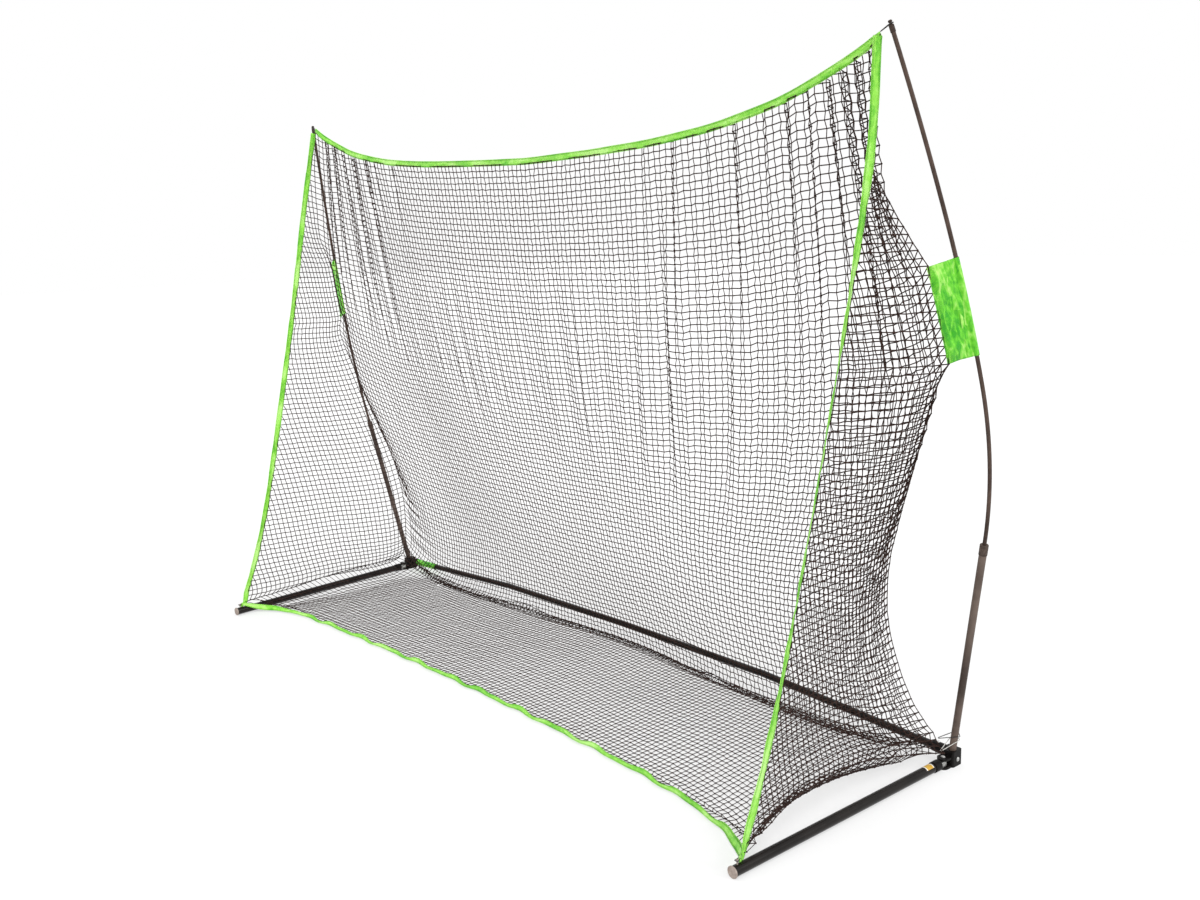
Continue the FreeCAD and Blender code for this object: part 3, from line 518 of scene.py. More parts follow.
def thread_tube(path, normals, radius, start):
    """A three-sided thread along a path.  start is the number of its first point."""
    tangent = unit(np.gradient(path, axis=0))
    aside = unit(np.cross(tangent, normals))
    ring = [normals, -0.5 * normals + 0.87 * aside, -0.5 * normals - 0.87 * aside]
    points = np.stack([path + r * radius for r in ring], axis=1).reshape(-1, 3)
    faces = []
    for i in range(len(path) - 1):
        for k in range(3):
            a, b = start + 3 * i + k, start + 3 * i + (k + 1) % 3
            faces.append((a, b, b + 3, a + 3))
    end = start + 3 * (len(path) - 1)
    faces += [(start + 2, start + 1, start), (end, end + 1, end + 2)]
    return points, faces


STITCH_STEP = 0.0032
STITCH_SWING = 0.0016
THREAD_RADIUS = 0.00042


def stitched(grid, normal, thickness, row_shares):
    """Lines of stitches along a sheet's columns on both faces, at shares of its rows."""
    points, faces = [], []
    rows = grid.shape[0]
    width = np.linalg.norm(grid[-1, 0] - grid[0, 0])
    for share in row_shares:
        line = grid_row(grid, share * (rows - 1))
        length = distances(line)[-1]
        count = max(4, int(length / STITCH_STEP))
        shares = np.linspace(0.002, 0.998, count)
        swing = STITCH_SWING / max(width, 1e-6) * (rows - 1)
        at = share * (rows - 1) + swing * np.where(np.arange(count) % 2 == 0, 1, -1)
        at = np.clip(at, 0, rows - 1)
        for face in (1, -1):
            path = np.array([grid_point(grid, a, s) for a, s in zip(at, shares)])
            up = np.array([grid_point(normal, a, s) for a, s in zip(at, shares)]) * face
            path = path + up * (thickness / 2 + THREAD_RADIUS * 0.4)
            start = sum(len(p) for p in points)
            made, made_faces = thread_tube(path, unit(up), THREAD_RADIUS, start)
            points.append(made)
            faces += made_faces
    return np.vstack(points), faces


def grid_row(grid, at):
    low = min(int(at), grid.shape[0] - 2)
    share = at - low
    return grid[low] * (1 - share) + grid[low + 1] * share


def grid_point(grid, at, share):
    """A point at a row number and a share of the columns."""
    row = min(int(at), grid.shape[0] - 2)
    column = min(int(share * (grid.shape[1] - 1)), grid.shape[1] - 2)
    r, c = at - row, share * (grid.shape[1] - 1) - column
    near = grid[row, column] * (1 - c) + grid[row, column + 1] * c
    far = grid[row + 1, column] * (1 - c) + grid[row + 1, column + 1] * c
    return near * (1 - r) + far * r


def sewn_sheet(name, grid, thickness, materials, row_shares, fabric="green_webbing"):
    """A closed fabric sheet with its stitching, as one piece."""
    points, faces, strip, normal = thin_sheet(grid, thickness)
    thick = float(np.max(thickness))
    thread, thread_faces = stitched(grid, normal, thick, row_shares)
    start = len(points)
    thread_faces = [tuple(i + start for i in f) for f in thread_faces]
    kinds = [0] * len(faces) + [1] * len(thread_faces)
    strip = np.vstack([strip, np.zeros((len(thread), 2))])
    both = [materials[fabric], materials["sewing_thread"]]
    points = np.vstack([points, thread])
    return add_mesh(name, points, faces + thread_faces, both, kinds, strip)


# ---------------- rods, from part.py

HALF_SPAN = 1.525
LEAN_OUT = 0.1932
LEAN_FORWARD = 0.1303
CROSS_HEIGHT = 0.012
SOCKET_FLOOR = 0.008
UPRIGHT_LENGTH = 0.75
UPRIGHT_RADIUS = 0.011
REDUCER_LIP = 0.004
ROD_SECTION = 0.4745
ROD_BENDS = (17.4, 4.8, 2.7)
BOW = Vector((0.98, 0.2, 0.0))
TIP_NECK_ABOVE_ROD = 0.005
SLEEVE_START = 0.076
SLEEVE_LENGTH = 0.266
SLEEVE_RADIUS = 0.0073
TAB_WIDTH = 0.084
TAB_DIRECTION = {1: (-0.45, -0.89, -0.06), -1: (0.76, -0.646, -0.06)}


def upright_frame(side):
    """The foot of an upright, with Z up it and X in the direction that its rod bows."""
    lean = Vector((side * LEAN_OUT, -LEAN_FORWARD, 1))
    through = Vector((side * HALF_SPAN, HUB_LINE, CROSS_HEIGHT))
    up = lean.normalized()
    bow = Vector((-side * BOW.x, -BOW.y, 0))
    bow = (bow - up * bow.dot(up)).normalized()
    turn = Matrix((bow, up.cross(bow), up)).transposed().to_4x4()
    return Matrix.Translation(through + lean * (SOCKET_FLOOR - CROSS_HEIGHT)) @ turn


def bent_on(start, bend, share=1.0):
    """The frame reached after going along part of one bent rod section."""
    turn = math.radians(bend) * share
    radius = ROD_SECTION / math.radians(bend)
    step = Vector((radius * (1 - math.cos(turn)), 0, radius * math.sin(turn)))
    return start @ Matrix.Translation(step) @ Matrix.Rotation(turn, 4, "Y")


def rod_frames(side):
    """Where each rod section starts to bend, and last where the rod ends."""
    lift = Matrix.Translation((0, 0, UPRIGHT_LENGTH + REDUCER_LIP))
    frames = [upright_frame(side) @ lift]
    for bend in ROD_BENDS:
        frames.append(bent_on(frames[-1], bend))
    return frames


def tab_frame(side, share):
    """A point on the rod's axis inside the tab, the way to the net, and the way across."""
    distance = SLEEVE_START + SLEEVE_LENGTH * share
    here = bent_on(rod_frames(side)[1], ROD_BENDS[1], distance / ROD_SECTION)
    up = here.to_3x3() @ Vector((0, 0, 1))
    toward = Vector(TAB_DIRECTION[side])
    toward = (toward - up * toward.dot(up)).normalized()
    return here.translation, toward, up.cross(toward)


def tab_edge(side, share):
    """A point on the tab's sewn edge, given from under the hub line."""
    base, toward, _ = tab_frame(side, share)
    edge = base + toward * TAB_WIDTH
    return (edge.x, edge.y - HUB_LINE, edge.z)


# ---------------- outlines of the net

NET_PITCH = 0.022
CORD_RADIUS = 0.0017
FLOOR_CORD_RADIUS = 0.00135
KNOT_RADIUS = 0.0033
HEM_WIDTH = 0.024
FLOOR_GAP = 0.004
FOOT_CORNER = (1.475, -0.898, 0.054)
FOOT_TIP = (1.4755, -0.918, 0.047)
HUB_CORNER = (1.540, -0.066, 0.061)
TOP_CORNER = (1.485, -0.366, 2.1025)
MOUTH = [TOP_CORNER, (1.508, -0.428, 1.780), (1.500, -0.538, 1.285), (1.484, -0.710, 0.600),
         (1.478, -0.800, 0.300), FOOT_CORNER]
NECKS = {
    1: [TOP_CORNER, (1.484, -0.396, 1.930), (1.488, -0.409, 1.779)],
    -1: [TOP_CORNER, (1.498, -0.378, 1.930), (1.520, -0.370, 1.779)],
}
ABOVE_TAB = {1: (1.549, -0.350, 1.631), -1: (1.556, -0.345, 1.640)}
BELOW_TAB = [(1.596, -0.254, 1.183), (1.505, -0.212, 0.940), (1.400, -0.154, 0.660),
             (1.373, -0.113, 0.440), (1.424, -0.076, 0.225), (1.506, -0.046, 0.094), HUB_CORNER]
LOWER_EDGES = {
    1: [HUB_CORNER, (1.502, -0.120, 0.066), (1.490, -0.207, 0.085), (1.484, -0.409, 0.134),
        (1.480, -0.620, 0.152), (1.478, -0.767, 0.131), (1.476, -0.850, 0.092), FOOT_CORNER],
    -1: [HUB_CORNER, (1.490, -0.255, 0.077), (1.482, -0.471, 0.076), (1.478, -0.677, 0.061),
         FOOT_CORNER],
}


def lower_edge(side, count):
    return smooth_line(mirrored(LOWER_EDGES[side], side), count)


def corner_line(side, count):
    """The net's rear corner: down from the top corner, out to the tab, down to the hub."""
    top = tab_edge(side, 1.0)
    bottom = tab_edge(side, 0.0)
    neck = mirrored(NECKS[side], side)
    below = [bottom] + mirrored(BELOW_TAB, side)
    runs = [neck, [neck[-1], mirrored([ABOVE_TAB[side]], side)[0], top], [top, bottom], below]
    return joined(runs, count)


HEM_MIDDLE_HEIGHT = 1.897
HEM_RISE = 0.2175
HEM_REACH = 1.484


def hem_height(x):
    """Height of the mouth's top edge, which hangs between the rod tips, lower on the right."""
    reach = np.abs(x) / HEM_REACH
    lift = np.where(x < 0, 0.016, 0.0024) * np.sin(np.pi * np.clip(reach, 0, 1))
    lift += np.where(x < 0, 0.010, 0.0) * reach**6
    return HEM_MIDDLE_HEIGHT + HEM_RISE * (0.30 * reach**2.2 + 0.70 * reach**4.4) + lift


def foot_front(station):
    """How far the mouth's foot stands ahead of the hub line."""
    sweep = np.where(station > 0, 9, 18)
    return -(0.690 + 0.062 * station**2 + 0.136 * np.abs(station) ** sweep)


def seam_back(x):
    """How far the foot of the back panel stands behind the hub line.  It runs in front of the
    rail and of the place where the legs fold, and at the hubs it comes further forward."""
    reach = np.abs(x) / TOP_CORNER[0]
    return 0.022 - 0.045 * np.tanh((x / 0.42) ** 2) - 0.043 * reach**20


# Gathers in the back panel's top edge: where, how deep, how wide, and how far down they run
# as a share of the panel's height.
PLEATS = [
    (-1.43, 0.030, 0.010, 0.42), (-1.365, 0.034, 0.010, 0.62), (-1.285, 0.020, 0.010, 0.30),
    (-1.215, 0.040, 0.011, 0.80), (-1.11, 0.034, 0.010, 0.62), (-1.03, 0.014, 0.012, 0.26),
    (-0.90, 0.024, 0.012, 0.36), (-0.62, 0.010, 0.016, 0.18), (0.20, 0.008, 0.018, 0.15),
    (0.42, 0.010, 0.012, 0.22), (0.60, 0.018, 0.010, 0.30), (0.72, 0.026, 0.009, 0.55),
    (0.86, 0.016, 0.009, 0.25), (0.97, 0.030, 0.009, 0.60), (1.08, 0.018, 0.009, 0.35),
    (1.16, 0.032, 0.009, 0.62), (1.235, 0.026, 0.008, 0.45), (1.30, 0.048, 0.009, 0.60),
    (1.345, 0.050, 0.008, 0.45), (1.39, 0.050, 0.008, 0.50), (1.435, 0.030, 0.008, 0.35),
]
# How far the folds lean over as they run down: where, over what width, how far, and at what
# share of the height most of all.
LEANS = [(-1.12, 0.32, 0.10, 0.45), (0.80, 0.42, 0.13, 0.45), (1.27, 0.13, 0.085, 0.20)]
BACK_ROWS = 92
BACK_COLUMNS = 148
FLOOR_ROWS = 34


def gathered_edge():
    """Even points along the top edge of the back panel, and each pleat's depth at them."""
    x = np.linspace(-TOP_CORNER[0], TOP_CORNER[0], 6001)
    waves = [depth * np.exp(-(((x - at) / width) ** 2)) for at, depth, width, _ in PLEATS]
    line = np.stack([x, TOP_CORNER[1] + sum(waves), hem_height(x) - HEM_WIDTH + 0.004], axis=1)
    along = distances(line)
    at = np.linspace(0, along[-1], BACK_COLUMNS + 1)
    edge = np.stack([np.interp(at, along, line[:, k]) for k in range(3)], axis=1)
    return edge, [np.interp(at, along, wave) for wave in waves]


def back_grid():
    """The back panel before it settles: a surface stretched between its four edges, with the
    gathers of the top edge dying away down it."""
    top, waves = gathered_edge()
    across = np.linspace(0, 1, BACK_COLUMNS + 1)
    down = np.linspace(0, 1, BACK_ROWS + 1)
    x = TOP_CORNER[0] * (2 * across - 1)
    foot = np.stack([x, seam_back(x), 0.010 + 0.051 * np.abs(2 * across - 1) ** 10], axis=1)
    left = corner_line(-1, BACK_ROWS + 1)
    right = corner_line(1, BACK_ROWS + 1)
    top[0], top[-1], foot[0], foot[-1] = left[0], right[0], left[-1], right[-1]
    grid = stretched(top, foot, left, right)
    for wave, (_, _, _, reach) in zip(waves, PLEATS):
        fade = np.exp(-((down / reach) ** 2)) - (1 - down)
        grid[..., 1] += fade[:, None] * wave[None, :]
    even = np.linspace(top[0, 0], top[-1, 0], BACK_COLUMNS + 1)
    spread = (1 - np.exp(-((down / 0.35) ** 2))) * (1 - down)
    grid[..., 0] += spread[:, None] * (even - top[:, 0])[None, :]
    for at, width, amount, deepest in LEANS:
        near = amount * np.exp(-(((x - at) / width) ** 2)) * (1 - np.abs(2 * across - 1) ** 12)
        fallen = down / deepest * np.exp(1 - down / deepest) * (1 - down**3)
        grid[..., 0] += fallen[:, None] * near[None, :]
    loose = np.sin(np.pi * down)[:, None] * np.sin(np.pi * across)[None, :]
    flat = grid * (1, 0, 1)
    billow = 0.05 * rough_field(flat, 0.42, 2) + 0.02 * rough_field(flat, 0.15, 5)
    grid[..., 1] += loose * billow
    grid[..., 2] += loose * 0.012 * rough_field(flat, 0.25, 9)
    return grid


# ---------------- how the net settles

# The space that the folded legs need under the rail: knots there are kept in front of it.
FOLDED_LEG_TOP = 0.046
FOLDED_LEG_END = 0.58
FOLDED_LEG_FRONT = -0.017
GRAVITY_STEP = 1.2e-5
MOMENTUM_KEPT = 0.97
DRAWN_HOME = 0.15
SETTLE_STEPS = 260
EVENING = 0.45
KNOT_SWING = 0.0022
KNOT_JITTER = 0.0006
LOWEST_KNOT = 0.0028
SWEEPS = 4
SLACK_SHARE = 0.12


class Web:
    """Knots joined by lengths of twine that may go slack but hardly stretch."""

    def __init__(self):
        self.points = np.zeros((0, 3))
        self.held = np.zeros(0, bool)
        self.links = [[] for _ in range(4)]

    def add(self, points, held):
        start = len(self.points)
        self.points = np.vstack([self.points, points.reshape(-1, 3)])
        self.held = np.concatenate([self.held, held.ravel()])
        return start

    def tie_grid(self, index, across, down):
        """Links of the given lengths between neighbours; index is -1 where there is none."""
        for parity in (0, 1):
            near, far = index[:, parity:-1:2], index[:, parity + 1 :: 2]
            self.tie(parity, near, far, across[:, parity::2])
            near, far = index[parity:-1:2], index[parity + 1 :: 2]
            self.tie(2 + parity, near, far, down[parity::2])

    def tie(self, group, near, far, length):
        there = (near >= 0) & (far >= 0)
        self.links[group].append((near[there], far[there], length[there]))

    def settle(self, steps, drawn, home):
        """Lets the web hang; the drawn knots are pulled gently towards home."""
        free = np.where(self.held, 0.0, 1.0)
        groups = []
        for links in self.links:
            near, far, length = (np.concatenate(part) for part in zip(*links))
            total = free[near] + free[far]
            used = total > 0
            near, far, length, total = near[used], far[used], length[used], total[used]
            groups.append((near, far, length, free[near] / total, free[far] / total))
        now, before = self.points.copy(), self.points.copy()
        for _ in range(steps):
            moved = now + (now - before) * MOMENTUM_KEPT
            moved[:, 2] -= GRAVITY_STEP
            moved[self.held] = self.points[self.held]
            before, now = now, moved
            now[drawn] += DRAWN_HOME * (home[drawn] - now[drawn])
            for _ in range(SWEEPS):
                for near, far, length, near_share, far_share in groups:
                    gap = now[far] - now[near]
                    reach = np.linalg.norm(gap, axis=1)
                    pull = (reach - length) / np.maximum(reach, 1e-9)
                    pull = np.where(reach > length, pull, pull * SLACK_SHARE)[:, None]
                    now[near] += near_share[:, None] * pull * gap
                    now[far] -= far_share[:, None] * pull * gap
            now[:, 2] = np.maximum(now[:, 2], FLOOR_GAP - 0.001)
            low = (now[:, 2] < FOLDED_LEG_TOP) & (np.abs(now[:, 0]) > FOLDED_LEG_END)
            now[low, 1] = np.minimum(now[low, 1], FOLDED_LEG_FRONT)
            now[self.held] = self.points[self.held]
        self.points = now


def side_rows(corner, mouth, lower):
    """Knots along each row of a side panel, from the corner line to the mouth's edge."""
    rows = []
    lower_shares = np.linspace(0, 1, len(lower))
    flat = evenly(np.array([corner[-1], mouth[-1]]), len(lower))
    for number, (start, end) in enumerate(zip(corner, mouth)):
        length = np.linalg.norm(end - start)
        count = max(1, math.ceil(length / NET_PITCH - 0.35))
        shares = np.append(np.arange(1, count) * NET_PITCH / max(length, 1e-6), 1.0)
        shares = np.minimum(shares, 1.0)
        row = start + (end - start) * shares[:, None]
        weight = max(0.0, 1 - (BACK_ROWS - number) / (0.35 * BACK_ROWS)) ** 2
        lift = [np.interp(shares, lower_shares, (lower - flat)[:, k]) for k in range(3)]
        lifted = slice(0, -1 if number < BACK_ROWS else None)
        row[lifted] += weight * np.stack(lift, axis=1)[lifted]
        rows.append(row)
    return rows


# The least and most height of a mesh in a side panel.
SIDE_MESH = (0.019, 0.026)


def add_side_panel(web, back, side):
    """One side panel, tied to the corner column of the back panel."""
    column = 0 if side < 0 else BACK_COLUMNS
    corner = web.points[back[:, column]]
    mouth = smooth_line(mirrored(MOUTH, side), BACK_ROWS + 1)
    lower = lower_edge(side, 200)
    rows = side_rows(corner, mouth, lower)
    widest = max(len(row) for row in rows)
    index = -np.ones((BACK_ROWS + 1, widest + 1), int)
    index[:, 0] = back[:, column]
    start = len(web.points)
    held = []
    across = np.full((BACK_ROWS + 1, widest), NET_PITCH)
    for number, row in enumerate(rows):
        index[number, 1 : len(row) + 1] = start + np.arange(len(row))
        start += len(row)
        held += [number == BACK_ROWS] * (len(row) - 1) + [True]
        last = row[-2] if len(row) > 1 else corner[number]
        across[number, len(row) - 1] = max(0.004, np.linalg.norm(row[-1] - last))
    web.add(np.vstack(rows), np.array(held))
    down = np.full((BACK_ROWS, widest + 1), NET_PITCH)
    near, far = index[:-1], index[1:]
    there = (near >= 0) & (far >= 0)
    gaps = np.linalg.norm(web.points[near[there]] - web.points[far[there]], axis=1)
    down[there] = np.clip(gaps, *SIDE_MESH)
    web.tie_grid(index, across, down * 1.005)
    return index


def add_floor_panel(web, back):
    """The floor panel, from the back panel's foot to the mouth's foot."""
    station = np.linspace(-1, 1, BACK_COLUMNS + 1)
    rear = web.points[back[-1]]
    front = np.stack([
        FOOT_CORNER[0] * station,
        foot_front(station) + 0.004,
        FLOOR_GAP + 0.050 * np.abs(station) ** 40,
    ], axis=1)
    left = lower_edge(-1, FLOOR_ROWS + 1)
    right = lower_edge(1, FLOOR_ROWS + 1)
    front[0], front[-1] = left[-1], right[-1]
    grid = stretched(rear, front, left, right)
    edge_lift = np.where(station[None, :] < 0, left[:, 2:3], right[:, 2:3]) - FLOOR_GAP
    grid[..., 2] = FLOOR_GAP + np.abs(station[None, :]) ** 10 * edge_lift
    ahead = np.linspace(0, 1, FLOOR_ROWS + 1)[:, None]
    inner = np.sin(np.pi * ahead) * (1 - station[None, :] ** 8)
    grid[..., 1] += 0.010 * inner * rough_field(grid * (1, 1, 0), 0.3, 4)
    grid[..., 0] += 0.008 * inner * rough_field(grid * (1, 1, 0), 0.25, 6)
    grid[..., 2] += 0.010 * inner * np.maximum(0, rough_field(grid * (1, 1, 0), 0.2, 8))
    grid[0], grid[-1] = rear, front
    held = np.zeros(grid.shape[:2], bool)
    held[0] = held[-1] = held[:, 0] = held[:, -1] = True
    start = web.add(grid, held)
    index = start + np.arange(held.size).reshape(held.shape)
    across = np.linalg.norm(np.diff(grid, axis=1), axis=2) * 1.01
    down = np.linalg.norm(np.diff(grid, axis=0), axis=2) * 1.01
    web.tie_grid(index, across, down)
    return index


def evened(lengths, axis):
    """Link lengths brought partly towards the mean of their strand."""
    mean = np.mean(lengths, axis=axis, keepdims=True)
    return EVENING * mean + (1 - EVENING) * lengths


def zigzag(web, index, aside, along):
    """Moves alternate knots, as the pull of the knots does in a real net."""
    rows, columns = np.nonzero(index >= 0)
    knots = index[rows, columns]
    free = ~web.held[knots]
    swing = (-1.0) ** columns[:, None] * aside + (-1.0) ** (rows + columns)[:, None] * along
    web.points[knots[free]] += swing[free]


def hang_net():
    """The whole bag net after it has settled, and the numbering of each panel's knots."""
    web = Web()
    grid = back_grid()
    held = np.zeros(grid.shape[:2], bool)
    held[0] = held[-1] = True
    low, high = tab_edge(1, 0.0)[2] - 0.01, tab_edge(1, 1.0)[2] + 0.01
    for column in (0, -1):
        held[:, column] |= (grid[:, column, 2] > low) & (grid[:, column, 2] < high)
    start = web.add(grid, held)
    back = start + np.arange(held.size).reshape(held.shape)
    across = np.linalg.norm(np.diff(grid, axis=1), axis=2)
    down = np.linalg.norm(np.diff(grid, axis=0), axis=2)
    across = evened(across, 1) * 1.003
    down = evened(down, 0) * 1.006
    web.tie_grid(back, across, down)
    sides = {name: add_side_panel(web, back, side) for name, side in SIDES.items()}
    floor = add_floor_panel(web, back)
    drawn = np.concatenate([back[1:-1, 0], back[1:-1, -1]])
    steps = SETTLE_STEPS
    web.settle(steps, drawn, web.points.copy())
    zigzag(web, back[:-1, 1:-1], 0.5 * KNOT_SWING * Z_AXIS, KNOT_SWING * X_AXIS)
    for panel in sides.values():
        zigzag(web, panel[:-1, 1:], 0.3 * KNOT_SWING * Z_AXIS, 0.3 * KNOT_SWING * Y_AXIS)
    zigzag(web, floor[1:-1], 0.5 * KNOT_SWING * Y_AXIS, 0.5 * KNOT_SWING * X_AXIS)
    web.points += rng.normal(0, KNOT_JITTER, web.points.shape)
    web.points[:, 2] = np.maximum(web.points[:, 2], LOWEST_KNOT)
    return placed(web.points), back, sides, floor


# ---------------- strands and knots

RING = ((1, 0), (0, 1), (-1, 0), (0, -1))
# A knot is an octahedron: its two poles, its girdle, and its faces.
KNOT_CORNERS = np.array(
    [(0, 0, 1), (0, 0, -1), (1, 0, 0), (0, 1, 0), (-1, 0, 0), (0, -1, 0)], float
)
KNOT_FACES = np.array(
    [(0, 2, 3), (0, 3, 4), (0, 4, 5), (0, 5, 2), (1, 3, 2), (1, 4, 3), (1, 5, 4), (1, 2, 5)]
)


def strands(points, there, facing, start, radius):
    """Closed square cords through the knots of each row that are there."""
    after = there & np.roll(there, -1, 1)
    after[:, -1] = False
    before = there & np.roll(there, 1, 1)
    before[:, 0] = False
    used = after | before
    ahead = np.where(after[..., None], np.roll(points, -1, 1), points)
    behind = np.where(before[..., None], np.roll(points, 1, 1), points)
    tangent = unit(ahead - behind)
    aside = unit(np.cross(tangent, facing))
    out = np.cross(tangent, aside)
    ring = np.stack([points + radius * (a * aside + b * out) for a, b in RING], axis=2)
    number = np.zeros(used.shape, int)
    number[used] = start + 4 * np.arange(used.sum())
    corners = number[..., None] + np.arange(4)
    near, far = corners[after], np.roll(corners, -1, 1)[after]
    walls = np.stack([near, np.roll(near, -1, 1), np.roll(far, -1, 1), far], axis=-1)
    caps = np.vstack([corners[used & ~before][:, ::-1], corners[used & ~after]])
    return ring[used].reshape(-1, 3), np.vstack([walls.reshape(-1, 4), caps])


def net_piece(name, points, index, facing, materials, shared=None, radius=CORD_RADIUS):
    """One net panel.  Its shared first row or column of knots belongs to its neighbour, so
    only the strands that cross it are drawn there."""
    there = index >= 0
    grid = points[np.maximum(index, 0)]
    own = there.copy()
    if shared == "column":
        own[:, 0] = False
    if shared == "row":
        own[0] = False
    rows_there = own if shared == "row" else there
    columns_there = own if shared == "column" else there
    across, across_faces = strands(grid, rows_there, facing, 0, radius)
    turned = grid.transpose(1, 0, 2)
    down, down_faces = strands(turned, columns_there.T, facing, len(across), radius)
    start = len(across) + len(down)
    knots = grid[own]
    size = KNOT_RADIUS * rng.uniform(0.8, 1.1, (len(knots), 1, 3))
    knot_points = (knots[:, None, :] + KNOT_CORNERS[None] * size).reshape(-1, 3)
    knot_faces = (start + 6 * np.arange(len(knots)))[:, None, None] + KNOT_FACES[None]
    faces = [tuple(f) for f in np.vstack([across_faces, down_faces]).tolist()]
    faces += [tuple(f) for f in knot_faces.reshape(-1, 3).tolist()]
    everything = np.vstack([across, down, knot_points])
    piece = add_mesh(name, everything, faces, [materials["net_cord"]])
    return piece


# ---------------- bindings

# The binding's thickness across it, and where its seams are.
HEM_SECTION = np.array([0.0016, 0.0022, 0.0024, 0.0022, 0.0018, 0.0013])
HEM_SEAMS = (0.14, 0.86)
HEM_SHARES = np.linspace(-0.5, 0.5, len(HEM_SECTION))


def hem_band(name, centre, direction, width, crumple, materials):
    """A folded binding along a centre line.  direction points across it at each station;
    crumple is how far its wrinkles move it."""
    grid = centre[None] + HEM_SHARES[:, None, None] * (direction * width[:, None])[None]
    grid = np.array(grid)
    normal = unit(np.cross(np.gradient(centre, axis=0), direction))
    broad = rough_field(grid, 0.045, 3)
    fine = rough_field(grid, 0.014, 7)
    grid += (crumple * (broad + 0.4 * fine))[..., None] * normal[None]
    return sewn_sheet(name, grid, HEM_SECTION, materials, HEM_SEAMS, "green_binding")


TOP_HEM_END = 1.486
TOP_HEM_AHEAD = -0.364
TOP_HEM_TAPER_START = 1.458


def top_hem(materials):
    x = np.linspace(-TOP_HEM_END, TOP_HEM_END, 560)
    y = np.full_like(x, TOP_HEM_AHEAD) + 0.003 * np.sin(x * 23)
    centre = np.stack([x, y, hem_height(x) - HEM_WIDTH / 2], axis=1)
    direction = squared(np.tile(-Z_AXIS, (len(x), 1)), centre)
    past = (np.abs(x) - TOP_HEM_TAPER_START) / (TOP_HEM_END - TOP_HEM_TAPER_START)
    width = HEM_WIDTH * (1 - 0.25 * np.clip(past, 0, 1))
    return hem_band("binding_top", placed(centre), direction, width, 0.0009, materials)


# How each vertical binding is turned about the plumb line, by height: 0 points it forward.
HEM_TURNS = {
    "left": ([0.05, 0.5, 0.9, 1.3, 1.7, 2.09], [0, -10, 12, -6, 8, -4]),
    "right": (
        [0.05, 0.30, 0.62, 0.80, 1.05, 1.28, 1.50, 1.75, 2.09],
        [-8, -4, 22, 26, 33, 26, 8, -22, -40],
    ),
}
# How much narrower each vertical binding is where it ends at the peg.
SIDE_HEM_TAPER = {-1: 0.25, 1: 0.55}


def side_hem(name, side, materials):
    edge = smooth_line(mirrored([*MOUTH, FOOT_TIP], side), 400)
    heights, turns = HEM_TURNS[name]
    turn = np.radians(np.interp(edge[:, 2], heights, turns))
    turn = turn + 0.12 * np.sin(edge[:, 2] * 31)
    direction = np.stack([side * np.sin(turn), -np.cos(turn), -0.25 * np.cos(turn)], axis=1)
    direction = squared(direction, edge)
    forward = np.stack([0 * turn, -np.ones_like(turn), -0.25 * np.ones_like(turn)], axis=1)
    low = np.clip((0.095 - edge[:, 2]) / 0.048, 0, 1)
    centre = edge + forward * ((HEM_WIDTH / 2 - 0.002) * (1 - low))[:, None]
    width = HEM_WIDTH * (1 - SIDE_HEM_TAPER[side] * low**2)
    return hem_band(f"binding_{name}", placed(centre), direction, width, 0.0016, materials)


# How broad the foot binding stands at each corner, in hem widths.
FOOT_HEM_BROAD = {-1: 1.0, 1: 1.35}


def foot_hem(name, side, materials):
    """Half of the binding along the mouth's foot.  On the floor it curls in loose scallops,
    and at the corner it stands up and runs to the peg."""
    share = np.linspace(0, 1, 420)
    station = side * share
    broad = FOOT_HEM_BROAD[side]
    near = np.clip((share - 0.86) / 0.11, 0, 1)
    tip = np.clip((share - 0.955) / 0.045, 0, 1)
    scallop = np.sin(station * 44) * 0.6 + np.sin(station * 71 + 1) * 0.4
    tilt = np.radians(38 + 26 * scallop) * (1 - near) + np.radians(64) * near
    width = HEM_WIDTH * ((0.62 + 0.12 * scallop) * (1 - near) + broad * near)
    width = width * (1 - 0.62 * tip**3)
    y = foot_front(station) - 0.009 + 0.004 * scallop * (1 - near)
    z = FLOOR_GAP + 0.5 * width * np.sin(tilt) + 0.0035
    centre = np.stack([FOOT_CORNER[0] * station, y, z], axis=1)
    end = np.array(mirrored([FOOT_TIP], side)[0])
    centre += (tip**2.2)[:, None] * (end - centre[-1])
    direction = np.stack([0 * tilt, -np.cos(tilt), -np.sin(tilt)], axis=1)
    direction = squared(direction, centre)
    return hem_band(f"binding_foot_{name}", placed(centre), direction, width, 0.0018, materials)


# ---------------- tab and rail strap

TAB_COLUMNS = 60
TAB_THICKNESS = 0.0012
TAB_SEAMS = (0.03, 0.075)
TAB_TAIL = 0.026
TAB_FLAP_GAP = 0.0017


